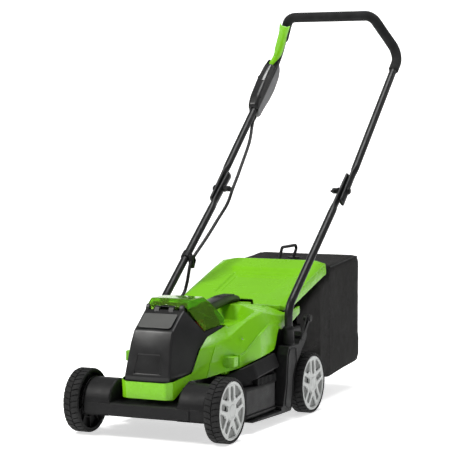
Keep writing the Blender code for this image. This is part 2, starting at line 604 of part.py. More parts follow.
def cranked_axle(name, pivot):
    """A steel rod across the deck with a crank and a stub for each wheel, and an arm for the link rod."""
    y, z = pivot["at"].y, pivot["at"].z
    axle = add(name, rod("x", (y, z), AXLE_RADIUS, -0.1660, 0.1660), STEEL, pivot)
    for side in (1, -1):
        web = circle(0.009, 8, (y, z), -math.pi / 2, math.pi, ends=True)
        web += circle(0.009, 8, (y - CRANK, z), math.pi / 2, math.pi, ends=True)
        join(axle, prism(web, "x", *sorted((side * 0.1625, side * 0.1665))), pivot)
        join(axle, rod("x", (y - CRANK, z), AXLE_RADIUS, *sorted((side * 0.1640, side * 0.1915))), pivot)
    arm = circle(0.008, 8, (y, z), math.pi, math.pi, ends=True)
    arm += circle(0.0045, 6, (y, z + LINK_ARM), 0, math.pi, ends=True)
    join(axle, prism(arm, "x", -0.1375, -0.1340), pivot)
    join(axle, rod("x", (y, z + LINK_ARM), 0.0020, -0.1450, -0.1350, 12), pivot)


def link_rod(link):
    front, rear = FRONT_PIVOT.y, REAR_PIVOT.y
    z = AXLE_Z + LINK_ARM
    bar = circle(0.0045, 8, (front, z), math.pi / 2, math.pi, ends=True)
    bar += circle(0.0045, 8, (rear, z), -math.pi / 2, math.pi, ends=True)
    made = add("link_rod", prism(bar, "x", -0.1420, -0.1385), STEEL, link)
    for y in (front, rear):
        cut(made, rod("x", (y, z), 0.0024, -0.16, -0.12, 12), link)


def wheel(corner, side, spin):
    y, z = spin["at"].y, spin["at"].z

    def at(points):
        return [(side * x, r) for x, r in points]

    tread = [
        (WHEEL_INNER_X, 0.0682), (WHEEL_INNER_X, 0.0712), (0.1640, 0.0742), (0.1750, WHEEL_RADIUS),
        (0.1850, WHEEL_RADIUS),
        (0.1960, 0.0742), (WHEEL_OUTER_X, 0.0712), (WHEEL_OUTER_X, 0.0682),
    ]
    add(f"tyre_{corner}", turned_x(at(tread), (y, z), 32), "rubber", spin)
    bore = AXLE_RADIUS + RUNNING_GAP
    rim = [
        (0.1615, 0.0678), (0.1615, 0.0650), (0.1745, 0.0645), (0.1745, 0.0140), (0.1700, 0.0130),
        (0.1700, bore),
        (0.1910, bore), (0.1910, 0.0120), (0.1775, 0.0140), (0.1775, 0.0640), (0.1925, 0.0645),
        (0.1925, 0.0678),
    ]
    add(f"wheel_hub_{corner}", turned_x(at(rim), (y, z), 24), BLACK, spin)
    plan = circle(0.0674, 40, (y, z))
    cap = add(f"hubcap_{corner}", prism(plan, "x", *sorted((side * 0.1935, side * 0.1990))), "silver", spin)
    for i in range(5):
        turn = 2 * math.pi * i / 5 + math.pi / 2
        window = [(0.0215, 0.0045), (0.0400, 0.0125), (0.0445, 0.0), (0.0400, -0.0125), (0.0215, -0.0045)]
        cos, sin = math.cos(turn), math.sin(turn)
        window = [(y + a * cos - b * sin, z + a * sin + b * cos) for a, b in window]
        cut(cap, prism(window, "x", *sorted((side * 0.18, side * 0.21))), spin)


def height_lever(lever):
    arm = [
        (LEVER_Y - 0.010, LEVER_Z - 0.004), (LEVER_Y, LEVER_Z - 0.010), (LEVER_Y + 0.009, LEVER_Z - 0.005),
        (0.462, 0.2300), (0.4640, 0.2420), (0.4560, 0.2480), (0.4460, 0.2440),
        (LEVER_Y - 0.004, LEVER_Z + 0.009),
    ]
    made = add("height_lever", prism(arm, "x", 0.1885, 0.1925), BLACK, lever)
    join(made, rod("x", (LEVER_Y, LEVER_Z), 0.0032, 0.1600, 0.1900, 12), lever)
    join(made, rod("x", (0.455, 0.238), 0.0085, 0.1800, 0.1985, 16), lever)


# ---------------------------------------------------------------- handle

UPPER_SLOPE = math.atan2(0.905 - FOLD_Z, 1.120 - FOLD_Y)
GRIP_BEND = Vector((0.1830, 1.1200, 0.9050))
GRIP_CORNER = Vector((0.1250, 1.0570, 1.0130))
ALONG = Vector((0, math.cos(UPPER_SLOPE), math.sin(UPPER_SLOPE)))
ABOVE = Vector((0, -math.sin(UPPER_SLOPE), math.cos(UPPER_SLOPE)))


def flipped(point):
    return Vector((-point.x, point.y, point.z))


def upper_path(start=-0.045):
    """The bent tube's centre line, from start metres past the right-hand pivot to the left-hand end."""
    right = [Vector((UPPER_TUBE_X, FOLD_Y, FOLD_Z)) + ALONG * d for d in (start, 0.066, 0.090)]
    corners = right + [GRIP_BEND, GRIP_CORNER]
    corners += [flipped(c) for c in reversed(corners)]
    return rounded_path(corners, [0.3, 0.3, 0.045, 0.032, 0.032, 0.045, 0.3, 0.3], 4)


def handle_parts(handle):
    path = upper_path()
    flat = {0, 1, len(path) - 2, len(path) - 1}
    bent = tube(path, TUBE_RADIUS, 12, lambda i: TUBE_FLAT if i in flat else (TUBE_RADIUS, TUBE_RADIUS))
    made = add("upper_tube", bent, "powder_coat", handle)
    for side in (1, -1):
        cut(made, rod("x", (FOLD_Y, FOLD_Z), 0.0035, *sorted((side * 0.14, side * 0.22))), handle)
    first, last = 3, 18     # the tube's bends, from the right-hand side to the left-hand one
    soft = [path[first] - ALONG * 0.030] + path[first:last]
    soft.append(path[last - 1].lerp(path[last], 0.72))
    add("foam_grip", sleeve(soft, 0.0138, TUBE_RADIUS + RUNNING_GAP, 12), "foam", handle)


def box_point(along, above, x=0.0):
    """A point near the switch box: metres up the left tube from the pivot, metres over the tube, and x."""
    return Vector((x, FOLD_Y, FOLD_Z)) + ALONG * along + ABOVE * above


def box_prism(outline, low, high):
    return prism([(box_point(a, b).y, box_point(a, b).z) for a, b in outline], "x", low, high)


BOX_LOW_X, BOX_HIGH_X = -0.2005, -0.1710
BUTTON_CENTRE = box_point(0.430, 0.0190)


def switch_box(handle, bail, button):
    """A box round the left tube in two halves, a black one over the tube and a grey one under it."""
    over = [
        (0.318, 0.0003), (0.311, 0.0080), (0.320, 0.0190), (0.345, 0.0270), (0.400, 0.0310), (0.470, 0.0290),
        (0.510, 0.0215), (0.517, 0.0120), (0.513, 0.0003),
    ]
    under = [
        (0.318, -0.0002), (0.513, -0.0002), (0.508, -0.0180), (0.488, -0.0300), (0.440, -0.0370),
        (0.395, -0.0345),
        (0.335, -0.0265), (0.313, -0.0260), (0.307, -0.0190), (0.309, -0.0080),
    ]
    outer = add("switch_box", box_prism(over, BOX_LOW_X, BOX_HIGH_X), BLACK, handle)
    inner = add("switch_box_shell", box_prism(under, BOX_LOW_X, BOX_HIGH_X), GREY, handle)
    for part in (outer, inner):
        cut(part, tube(upper_path(), TUBE_HOLE, 12), handle)
    hollow = [(0.418, 0.0120), (0.418, 0.0265), (0.474, 0.0262), (0.474, 0.0120)]
    cut(outer, box_prism(hollow, -0.1965, -0.1755), handle)
    slot = [(0.4780, 0.0120), (0.4780, 0.0450), (0.5300, 0.0450), (0.5300, 0.0120)]
    cut(outer, box_prism(slot, -0.1970, -0.1600), handle)
    gland = [box_point(along, -0.0190, -0.1860) for along in (0.295, 0.340)]
    cut(inner, tube(gland, CABLE_RADIUS + 0.0007, 8), handle)
    centre = tuple(BUTTON_CENTRE)[1:]
    cut(outer, rod("x", centre, 0.0062, -0.2100, -0.1900), handle)
    add("lock_button", rod("x", centre, 0.0056, -0.2050, -0.1925), GREY, button)
    switch = [(0.4230, 0.0130), (0.4230, 0.0250), (0.4400, 0.0250), (0.4400, 0.0130)]
    add("micro_switch", box_prism(switch, -0.1885, -0.1790), GREY, handle)
    bail_lever(bail)


DIAGONAL = (flipped(GRIP_CORNER) - flipped(GRIP_BEND)).normalized()
OUTWARD = Vector((0.20, -0.98, 0.0))
OUTWARD = (OUTWARD - DIAGONAL * OUTWARD.dot(DIAGONAL)).normalized()
BAIL_AXIS = DIAGONAL.cross(OUTWARD)
BAIL_PIVOT = box_point(0.488, 0.0185, -0.1860)
BAIL_WALL = 0.003
BAIL_STATIONS = [
    # metres off the diagonal, metres up it, half width, depth; the first station is the pivot itself
    (0.0, 0.0, 0.0060, 0.0040), (0.0340, 0.0200, 0.0100, 0.0090), (0.0310, 0.0400, 0.0125, 0.0110),
    (0.0290, 0.0700, 0.0130, 0.0110), (0.0290, 0.0980, 0.0130, 0.0100), (0.0325, 0.1240, 0.0160, 0.0080),
]


def bail_lever(bail):
    """A channel that stands before the left diagonal of the grip and opens towards it."""
    places = [BAIL_PIVOT]
    places += [flipped(GRIP_BEND) + OUTWARD * off + DIAGONAL * up for off, up, _, _ in BAIL_STATIONS[1:]]
    mesh = bmesh.new()
    rings = []
    for point, (_, _, half, deep) in zip(places, BAIL_STATIONS):
        slim = half - BAIL_WALL
        section = [
            (-half, deep), (-half, 0.0), (half, 0.0), (half, deep), (slim, deep), (slim, BAIL_WALL),
            (-slim, BAIL_WALL), (-slim, deep),
        ]
        rings.append([mesh.verts.new(point + BAIL_AXIS * a - OUTWARD * b) for a, b in section])
    bridge(mesh, rings, closed=True)
    add("bail_lever", face_out(mesh), GREEN, bail)


def knob_and_bolt(word, side, chassis, knob):
    centre = (FOLD_Y, FOLD_Z)
    low, high = sorted((side * 0.1520, side * 0.1945))
    bolt = add(f"pivot_bolt_{word}", rod("x", centre, 0.0031, low, high, 12), "powder_coat", chassis)
    join(bolt, prism(circle(0.0070, 6, centre), "x", *sorted((side * 0.1930, side * 0.1970))), chassis)
    low, high = sorted((side * 0.1475, side * 0.1655))
    made = add(f"wing_knob_{word}", rod("x", centre, 0.0075, low, high, 16), BLACK, knob)
    for turn in (1, -1):
        wing = [
            (0.0, -0.004), (turn * 0.015, -0.003), (turn * 0.017, 0.0005), (turn * 0.015, 0.003),
            (0.0, 0.004),
        ]
        wing = [(FOLD_Y + y, FOLD_Z + z) for y, z in wing]
        join(made, prism(wing, "x", *sorted((side * 0.1490, side * 0.1600))), knob)
    cut(made, rod("x", centre, 0.0036, *sorted((side * 0.1515, side * 0.18)), 12), knob)


# ---------------------------------------------------------------- battery bay lid and key


def lid_and_key(chassis, lid, key):
    cover = moulded("battery_lid", LID_POINTS, LID_FACES, "clear_green", lid, (0, 0.12, 0.26), 0.0022)
    for side in (1, -1):
        knuckle = circle(0.0036, 12, (LID_HINGE_Y, LID_HINGE_Z))
        low, high = sorted((side * 0.026, side * 0.0390))
        join(cover, prism(knuckle, "x", low, high), lid)
        bridge_piece = [
            (0.0575, 0.2985), (0.0640, 0.3000), (0.0645, 0.3030), (0.0610, 0.3015), (0.0565, 0.2995),
        ]
        join(cover, prism(bridge_piece, "x", low, high), lid)
    cut(cover, rod("x", (LID_HINGE_Y, LID_HINGE_Z), 0.0019, -0.06, 0.06, 12), lid)
    add("lid_hinge_pin", rod("x", (LID_HINGE_Y, LID_HINGE_Z), 0.0015, -0.0465, 0.0465, 12), STEEL, chassis)
    body = add("safety_key", box((0.0500, 0.100, 0.2320), (0.0690, 0.128, 0.2520), 0.002, 1), "key_red", key)
    join(body, box((0.0540, 0.108, 0.2130), (0.0640, 0.120, 0.2360)), key)


# ---------------------------------------------------------------- rear flap and grass bag

FLAP_POINTS = {
    "a0": (0, 0.4385, 0.2810), "a05": (0.0475, 0.4375, 0.2805), "a08": (0.0655, 0.4030, 0.2735),
    "a1": (0.092, 0.4030, 0.2735), "a2": (0.135, 0.4030, 0.2725), "a3": (0.1478, 0.4090, 0.2680),
    "c0": (0, 0.470, 0.2900), "c05": (0.048, 0.470, 0.2900), "c1": (0.085, 0.470, 0.2900),
    "c2": (0.135, 0.470, 0.2950), "c3": (0.1478, 0.470, 0.2925),
    "d0": (0, 0.618, 0.3310), "d1": (0.092, 0.618, 0.3310), "d2": (0.135, 0.618, 0.3420),
    "d3": (0.1478, 0.618, 0.3390),
    "e0": (0, 0.630, 0.3420), "e1": (0.098, 0.630, 0.3420), "e2": (0.130, 0.660, 0.3560),
    "e3": (0.1478, 0.673, 0.3550),
    "f0": (0, 0.689, 0.3620), "f1": (0.108, 0.689, 0.3620),
    "s0": (0.1478, 0.4130, 0.2570), "s1": (0.1478, 0.470, 0.2680), "s2": (0.1478, 0.618, 0.3120),
    "s3": (0.1478, 0.675, 0.3280),
    "r0": (0, 0.6915, 0.3480), "r1": (0.108, 0.6915, 0.3480), "r3": (0.1478, 0.6760, 0.3400),
}
FLAP_FACES = [
    "a0 a05 c05 c0", "a05 a08 a1 c1 c05", "a1 a2 c2 c1", "a2 a3 c3 c2", "c0 c05 c1 d1 d0", "c1 c2 d2 d1",
    "c2 c3 d3 d2", "d0 d1 e1 e0", "d1 d2 e2 e1",
    "d2 d3 e3 e2", "e0 e1 f1 f0", "e1 e2 f1", "e2 e3 f1", "a3 s0 s1 c3", "c3 s1 s2 d3", "d3 s2 s3 r3 e3",
    "f0 f1 r1 r0", "f1 e3 r3 r1",
]


def rear_flap(chassis, flap):
    cover = moulded("rear_flap", FLAP_POINTS, FLAP_FACES, GREEN, flap, (0, 0.5, 0.1))
    centre = (FLAP_HINGE_Y, FLAP_HINGE_Z)
    for side in (1, -1):
        low, high = sorted((side * 0.100, side * 0.112))
        join(cover, rod("x", centre, 0.0065, low, high, 16), flap)
        stem = box((low, FLAP_HINGE_Y - 0.0045, FLAP_HINGE_Z), (high, FLAP_HINGE_Y + 0.0045, 0.2735))
        join(cover, stem, flap)
    cut(cover, rod("x", centre, 0.0034, -0.16, 0.16), flap)
    add("flap_hinge_rod", rod("x", centre, 0.0030, -0.1520, 0.1520, 12), STEEL, chassis)


def flap_spring(word, side, chassis):
    turns, radius, wire = 3, 0.0052, 0.0009
    points = []
    steps = turns * 8
    for i in range(steps + 1):
        angle = 2 * math.pi * i / 8
        x = side * (0.070 + 0.014 * i / steps)
        points.append((x, FLAP_HINGE_Y + radius * math.cos(angle), FLAP_HINGE_Z + radius * math.sin(angle)))
    add(f"flap_spring_{word}", tube(points, wire, 5), STEEL, chassis)


BAG_WALL = 0.0025
BAG_STATIONS = [
    # y, half width below and above the rear axle, bottom, top
    (0.5000, 0.1290, 0.1420, 0.112, 0.2420), (0.5440, 0.1290, 0.1500, 0.106, 0.2680),
    (0.6200, BAG_SIDE_X, BAG_SIDE_X, 0.064, 0.3040), (0.6800, 0.1525, 0.1525, 0.055, 0.3230),
    (0.7000, 0.1520, 0.1520, 0.054, 0.3480), (0.9000, 0.1450, 0.1440, 0.070, 0.3620),
    (0.9180, 0.1435, 0.1415, 0.073, 0.3600), (0.9270, 0.1390, 0.1370, 0.080, 0.3530),
    (0.9300, 0.1300, 0.1290, 0.090, 0.3440),
]


def bag_section(mesh, station, wall):
    """One section of the bag, drawn in by a wall."""
    y, foot, half, low, high = station
    foot, half, low, high, soft = foot - wall, half - wall, low + wall, high - wall, 0.014
    ring = [(foot - soft, low), (foot, low + soft), (foot, 0.137), (half, 0.150), (half, high - soft)]
    ring.append((half - soft, high))
    ring += [(-x, z) for x, z in reversed(ring)]
    return [mesh.verts.new((x, y, z)) for x, z in ring]


def bag_parts(bag):
    mesh = bmesh.new()
    outside = [bag_section(mesh, station, 0.0) for station in BAG_STATIONS]
    rear = BAG_STATIONS[-1]
    inner_stations = BAG_STATIONS[:-1] + [(rear[0] - BAG_WALL, *rear[1:])]
    inside = [bag_section(mesh, station, BAG_WALL) for station in inner_stations]
    bridge(mesh, outside[::-1] + inside, closed=True)
    add("grass_bag", face_out(mesh), "fabric", bag)
    frame = add("bag_frame", box((-0.1265, 0.4890, 0.106), (0.1265, 0.4996, 0.2440)), BLACK, bag)
    cut(frame, box((-0.116, 0.470, 0.116), (0.116, 0.510, 0.2340)), bag)
    loop = [(0, 0.7050, 0.3523), (0, 0.7280, 0.3890), (0, 0.8320, 0.3890), (0, 0.8050, 0.3593)]
    loop = rounded_path(loop, [0.010, 0.008], 4)
    add("bag_handle", tube(loop, 0.004, 8), BLACK, bag)


def build():
    clear_scene()
    mower = empty("MOWER", (0, 0, 0))
    mower["object"].location = (MIDDLE_X, FRONT_AXLE_Y, 0)
    chassis = empty("CHASSIS", (0, 0, 0), mower)
    rotor = empty("ROTOR_AXIS", (0, BLADE_CENTRE_Y, BLADE_Z), mower)
    front_axle = empty("FRONT_AXLE_AXIS", FRONT_PIVOT, mower)
    rear_axle = empty("REAR_AXLE_AXIS", REAR_PIVOT, mower)
    link = empty("LINK_ROD_AXIS", REAR_PIVOT + Vector((0, 0, LINK_ARM)), mower)
    lever = empty("HEIGHT_LEVER_AXIS", (0, LEVER_Y, LEVER_Z), mower)
    handle = empty("HANDLE_AXIS", FOLD, mower)
    bail = empty("BAIL_AXIS", BAIL_PIVOT, handle)
    button = empty("LOCK_BUTTON_AXIS", Vector((-0.2050, *BUTTON_CENTRE[1:])), handle)
    lid = empty("LID_AXIS", (0, LID_HINGE_Y, LID_HINGE_Z), mower)
    key = empty("KEY_AXIS", (0.059, 0.114, 0.232), mower)
    flap = empty("FLAP_AXIS", (0, FLAP_HINGE_Y, FLAP_HINGE_Z), mower)
    bag = empty("BAG_AXIS", (0, 0.49, 0.18), mower)

    deck_housing(chassis)
    green_shroud(chassis)
    motor_cover(chassis)
    battery_bay(chassis)
    motor(chassis, rotor)
    carry_handle(chassis)
    both_sides(lambda word, side: side_rail(word, side, chassis))
    both_sides(lambda word, side: lower_tube(word, side, chassis))
    cables(chassis, handle)
    cranked_axle("front_axle", front_axle)
    cranked_axle("rear_axle", rear_axle)
    link_rod(link)
    height_lever(lever)
    for end, y, axle in (("front", 0.0, front_axle), ("rear", WHEELBASE, rear_axle)):
        for word, side in (("right", 1), ("left", -1)):
            corner = f"{end}_{word}"
            spin = empty(f"WHEEL_AXIS_{corner}", (side * WHEEL_INNER_X, y, AXLE_Z), axle)
            wheel(corner, side, spin)
    handle_parts(handle)
    switch_box(handle, bail, button)
    for word, side in (("right", 1), ("left", -1)):
        knob = empty(f"KNOB_AXIS_{word}", (side * 0.150, FOLD_Y, FOLD_Z), mower)
        knob_and_bolt(word, side, chassis, knob)
    lid_and_key(chassis, lid, key)
    rear_flap(chassis, flap)
    both_sides(lambda word, side: flap_spring(word, side, chassis))
    bag_parts(bag)


build()
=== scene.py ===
"""Looks of the push lawn mower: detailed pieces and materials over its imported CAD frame.

Shapes are drawn in metres in the mower's own frame: origin on the ground under the front axle, front
towards -Y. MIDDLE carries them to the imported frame. "right" is the side at +X.
"""

import json
import math

import bmesh
import bpy
from mathutils import Matrix, Vector, noise

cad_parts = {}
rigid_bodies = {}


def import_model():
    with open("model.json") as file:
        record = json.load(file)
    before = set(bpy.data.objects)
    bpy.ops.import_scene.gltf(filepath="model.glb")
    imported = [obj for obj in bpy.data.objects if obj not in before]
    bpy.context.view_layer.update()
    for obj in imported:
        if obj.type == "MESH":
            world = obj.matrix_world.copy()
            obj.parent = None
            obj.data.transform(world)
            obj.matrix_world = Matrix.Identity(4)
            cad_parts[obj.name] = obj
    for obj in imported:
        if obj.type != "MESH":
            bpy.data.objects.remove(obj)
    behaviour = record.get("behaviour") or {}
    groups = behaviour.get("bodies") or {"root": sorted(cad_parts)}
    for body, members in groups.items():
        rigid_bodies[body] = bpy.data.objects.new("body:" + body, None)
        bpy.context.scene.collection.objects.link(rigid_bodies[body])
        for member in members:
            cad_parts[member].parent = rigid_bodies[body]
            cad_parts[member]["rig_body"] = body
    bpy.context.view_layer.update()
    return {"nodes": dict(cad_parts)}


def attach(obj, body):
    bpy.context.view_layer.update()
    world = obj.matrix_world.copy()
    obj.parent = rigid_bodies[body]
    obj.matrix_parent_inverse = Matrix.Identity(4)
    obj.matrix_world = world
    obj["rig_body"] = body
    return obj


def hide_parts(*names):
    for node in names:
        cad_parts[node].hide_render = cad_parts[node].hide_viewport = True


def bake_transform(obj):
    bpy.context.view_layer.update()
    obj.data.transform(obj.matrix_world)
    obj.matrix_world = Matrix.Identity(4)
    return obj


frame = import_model()

MIDDLE = Vector((0.003, -0.5231, 0.0))
WHEELBASE = 0.470
WHEEL_RADIUS = 0.075
FOLD = Vector((0, 0.7175, 0.542))
LOWER_SLOPE = math.radians(38.3)
POST_Y = 0.3745
MOTOR_Y = 0.222
TUBE_RADIUS = 0.010
TUBE_FLAT = (0.006, 0.0125)
UPPER_FLAT, LOWER_FLAT = 0.128, 0.135
LOWER_TUBE_X = 0.1725
UPPER_TUBE_X = 0.186
GRIP_BEND = Vector((0.1830, 1.1200, 0.9050))
GRIP_CORNER = Vector((0.1250, 1.0570, 1.0130))
UPPER_SLOPE = math.atan2(GRIP_BEND.z - FOLD.z, GRIP_BEND.y - FOLD.y)
ALONG = Vector((0, math.cos(UPPER_SLOPE), math.sin(UPPER_SLOPE)))
ABOVE = Vector((0, -math.sin(UPPER_SLOPE), math.cos(UPPER_SLOPE)))
CABLE_RADIUS = 0.0043
CRANK = 0.036
LID_AXIS = (0.0565, 0.2965)
FLAP_AXIS = (0.412, 0.258)


# ---------------------------------------------------------------- camera

def make_camera():
    camera = bpy.data.objects.new("camera", bpy.data.cameras.new("camera"))
    bpy.context.scene.collection.objects.link(camera)
    camera.location = Vector((1.9016, -3.6051, 0.7396)) + MIDDLE
    camera.rotation_euler = (math.radians(86.393), 0, math.radians(25.448))
    camera.data.lens = 141.54
    camera.data.sensor_width = 36
    camera.data.clip_end = 60
    bpy.context.scene.camera = camera


make_camera()


# ---------------------------------------------------------------- materials

class Finish:
    """Builds one node material on the Principled shader."""

    def __init__(self, name, colour, roughness, metallic=0.0, **sockets):
        self.material = bpy.data.materials.new(name)
        self.material.use_nodes = True
        self.nodes = self.material.node_tree.nodes
        self.links = self.material.node_tree.links
        self.shader = self.nodes["Principled BSDF"]
        self.colour = colour
        self.shader.inputs["Base Color"].default_value = (*colour, 1)
        self.shader.inputs["Roughness"].default_value = roughness
        self.shader.inputs["Metallic"].default_value = metallic
        for socket, value in sockets.items():
            self.shader.inputs[socket.replace("_", " ")].default_value = value
        self.place = self.nodes.new("ShaderNodeTexCoord").outputs["Object"]
        self.height = None

    def pattern(self, kind, scale, stretch=(1, 1, 1), **settings):
        """A texture in object space. Returns its first output that holds a number."""
        spread = self.nodes.new("ShaderNodeMapping")
        spread.inputs["Scale"].default_value = stretch
        self.links.new(self.place, spread.inputs["Vector"])
        texture = self.nodes.new(f"ShaderNodeTex{kind}")
        texture.inputs["Scale"].default_value = scale
        for key, value in settings.items():
            if key in texture.inputs:
                texture.inputs[key].default_value = value
            else:
                setattr(texture, key, value)
        self.links.new(spread.outputs["Vector"], texture.inputs["Vector"])
        return next(o for o in texture.outputs if o.type == "VALUE" and o.enabled)

    def ranged(self, value, low, high, start=0.0, end=1.0):
        node = self.nodes.new("ShaderNodeMapRange")
        for key, number in (("From Min", start), ("From Max", end), ("To Min", low), ("To Max", high)):
            node.inputs[key].default_value = number
        self.links.new(value, node.inputs["Value"])
        return node.outputs["Result"]

    def mixed(self, factor, first, second):
        """Mixes two colours, or a colour and an earlier mix, by a factor."""
        node = self.nodes.new("ShaderNodeMix")
        node.data_type = "RGBA"
        self.links.new(factor, node.inputs["Factor"])
        for value, socket in ((first, node.inputs[6]), (second, node.inputs[7])):
            if isinstance(value, bpy.types.NodeSocket):
                self.links.new(value, socket)
            else:
                socket.default_value = (*value, 1)
        return node.outputs[2]

    def tinted(self, colour):
        self.tint = colour
        self.links.new(colour, self.shader.inputs["Base Color"])
        return self

    def vary(self, amount, scale=9.0):
        """Broad soft differences of tone, as in any moulded or painted surface."""
        cloud = self.pattern("Noise", scale, Detail=3.0)
        deep = tuple(c * (1 - amount) for c in self.colour)
        pale = tuple(min(1.0, c * (1 + amount) + amount * 0.01) for c in self.colour)
        return self.tinted(self.mixed(self.ranged(cloud, 0, 1, 0.3, 0.7), deep, pale))

    def dust(self, colour, amount, scale=60.0):
        """Pale dust and scuffs in spots, on top of the tones."""
        spots = self.pattern("Noise", scale, Detail=8.0, Roughness=0.7)
        return self.tinted(self.mixed(self.ranged(spots, 0, amount, 0.52, 0.75), self.tint, colour))

    def polish(self, low, high, scale=40.0):
        """Roughness that differs from place to place."""
        smear = self.pattern("Noise", scale, Detail=5.0, Roughness=0.6)
        self.links.new(self.ranged(smear, low, high, 0.3, 0.7), self.shader.inputs["Roughness"])
        return self

    def bump(self, value, distance):
        """Adds a height pattern; the patterns add up through chained bump nodes."""
        node = self.nodes.new("ShaderNodeBump")
        node.inputs["Strength"].default_value = 1.0
        node.inputs["Distance"].default_value = distance
        self.links.new(value, node.inputs["Height"])
        if self.height:
            self.links.new(self.height, node.inputs["Normal"])
        self.height = node.outputs["Normal"]
        self.links.new(self.height, self.shader.inputs["Normal"])
        return self

    def grain(self, scale, distance, **settings):
        return self.bump(self.pattern("Noise", scale, Detail=2.0, **settings), distance)


def make_finishes():
    made = {}

    def keep(name, finish, slot):
        made[name] = (finish.material, slot)

    green = Finish("green_plastic", (0.200, 0.560, 0.008), 0.26, Specular_IOR_Level=0.30,
                   Coat_Weight=0.10, Coat_Roughness=0.10)
    green.vary(0.05, 7).polish(0.22, 0.30, 24)
    keep("green", green.grain(1400, 0.00005), "green_plastic")

    black = Finish("black_plastic", (0.0085, 0.0085, 0.0090), 0.50, Specular_IOR_Level=0.20)
    black.vary(0.18, 8).dust((0.024, 0.024, 0.024), 0.5, 70).polish(0.42, 0.58, 35)
    keep("black", black.bump(black.pattern("Voronoi", 900), 0.00010).grain(2200, 0.00006), "black_plastic")

    dark = Finish("satin_black_plastic", (0.0115, 0.0115, 0.0120), 0.38, Specular_IOR_Level=0.38)
    dark.vary(0.12, 8).dust((0.022, 0.022, 0.022), 0.3, 60).polish(0.28, 0.42, 30)
    keep("satin_black", dark.grain(1600, 0.00006), "black_plastic")

    grey = Finish("grey_plastic", (0.100, 0.102, 0.098), 0.42, Specular_IOR_Level=0.35)
    grey.vary(0.10, 10).polish(0.36, 0.50, 40)
    keep("grey", grey.grain(1500, 0.00008), "grey_plastic")

    gloss = Finish("gloss_black_plastic", (0.016, 0.016, 0.017), 0.22, Coat_Weight=0.4, Coat_Roughness=0.15)
    gloss.vary(0.1, 12).polish(0.18, 0.30, 30)
    keep("gloss_black", gloss.grain(1800, 0.00004), "black_plastic")

    pale = Finish("grey_satin_plastic", (0.200, 0.200, 0.205), 0.40, Specular_IOR_Level=0.35)
    pale.vary(0.08, 12).polish(0.34, 0.48, 40)
    keep("grey_gloss", pale.grain(1500, 0.00008), "grey_plastic")

    silver = Finish("silver_paint", (0.46, 0.475, 0.465), 0.36, 0.15, Coat_Weight=0.1, Coat_Roughness=0.2)
    silver.vary(0.04, 25).dust((0.40, 0.40, 0.38), 0.35, 90).polish(0.28, 0.42, 60)
    keep("silver", silver.grain(2500, 0.00004), "silver_plastic")

    # Silver darkened to grey: painted shade for the recessed floors in the hub caps' windows.
    shade = Finish("recess_shade_grey", (0.150, 0.155, 0.150), 0.45, 0.1)
    shade.vary(0.08, 25).polish(0.38, 0.55, 60)
    keep("recess_shade_grey", shade.grain(2500, 0.00004), "silver_plastic")

    rubber = Finish("tyre_rubber", (0.0110, 0.0110, 0.0112), 0.70, Specular_IOR_Level=0.25)
    rubber.vary(0.2, 20).dust((0.035, 0.034, 0.032), 0.45, 110).polish(0.60, 0.82, 50)
    keep("rubber", rubber.grain(1200, 0.00018), "tyre_rubber")

    cable = Finish("cable_jacket", (0.0100, 0.0100, 0.0105), 0.46, Specular_IOR_Level=0.35)
    cable.vary(0.15, 30).polish(0.40, 0.55, 60)
    keep("cable", cable.grain(1800, 0.00006), "cable_rubber")

    foam = Finish("grip_foam", (0.0115, 0.0115, 0.0120), 0.88, Sheen_Weight=0.05, Sheen_Roughness=0.5,
                  Specular_IOR_Level=0.20)
    foam.vary(0.25, 30).polish(0.78, 0.92, 80)
    keep("foam", foam.bump(foam.pattern("Voronoi", 700), 0.00035).grain(2500, 0.00015), "foam")

    fabric = Finish("bag_cloth", (0.0125, 0.0118, 0.0112), 0.84, Sheen_Weight=0.03, Sheen_Roughness=0.45,
                    Specular_IOR_Level=0.12)
    fabric.vary(0.10, 10).polish(0.74, 0.90, 50)
    for direction in ("Y", "Z"):
        threads = fabric.pattern("Wave", 260, bands_direction=direction, Distortion=0.6, Detail=1.0)
        fabric.bump(threads, 0.00016)
    keep("fabric", fabric.grain(60, 0.0008), "bag_fabric")

    binding = Finish("bag_binding", (0.0090, 0.0090, 0.0095), 0.65, Sheen_Weight=0.05, Sheen_Roughness=0.4,
                     Specular_IOR_Level=0.25)
    binding.vary(0.2, 20).polish(0.58, 0.75, 60)
    twill = binding.pattern("Wave", 300, bands_direction="DIAGONAL")
    keep("binding", binding.bump(twill, 0.0002), "bag_fabric")

    thread = Finish("bag_thread", (0.035, 0.035, 0.035), 0.60)
    thread.vary(0.2, 60).polish(0.5, 0.7, 90)
    strands = thread.pattern("Wave", 500, bands_direction="DIAGONAL")
    keep("thread", thread.bump(strands, 0.0002), "bag_fabric")

    coat = Finish("powder_coat", (0.0085, 0.0085, 0.0090), 0.36, Specular_IOR_Level=0.30)
    coat.vary(0.12, 15).dust((0.026, 0.026, 0.026), 0.35, 120).polish(0.30, 0.44, 50)
    keep("powder_coat", coat.grain(1300, 0.00010), "powder_coated_steel")

    steel = Finish("bare_steel", (0.46, 0.46, 0.47), 0.34, 1.0)
    steel.vary(0.12, 40).polish(0.26, 0.46, 70)
    scratches = steel.pattern("Noise", 120, (1, 14, 14), Detail=4.0)
    keep("steel", steel.bump(scratches, 0.00012), "steel")

    zinc = Finish("blackened_steel", (0.030, 0.030, 0.032), 0.38, 0.8)
    zinc.vary(0.15, 40).polish(0.30, 0.48, 70)
    keep("dark_steel", zinc.grain(900, 0.00006), "steel")

    clear = Finish("clear_green_plastic", (0.34, 0.66, 0.07), 0.05, Transmission_Weight=0.88, IOR=1.14)
    clear.polish(0.03, 0.10, 20)
    keep("clear_green", clear.grain(400, 0.000004), "clear_green_plastic")

    red = Finish("key_plastic", (0.42, 0.055, 0.03), 0.40)
    red.vary(0.1, 30).polish(0.34, 0.48, 50)
    keep("red", red.grain(1500, 0.00008), "red_plastic")

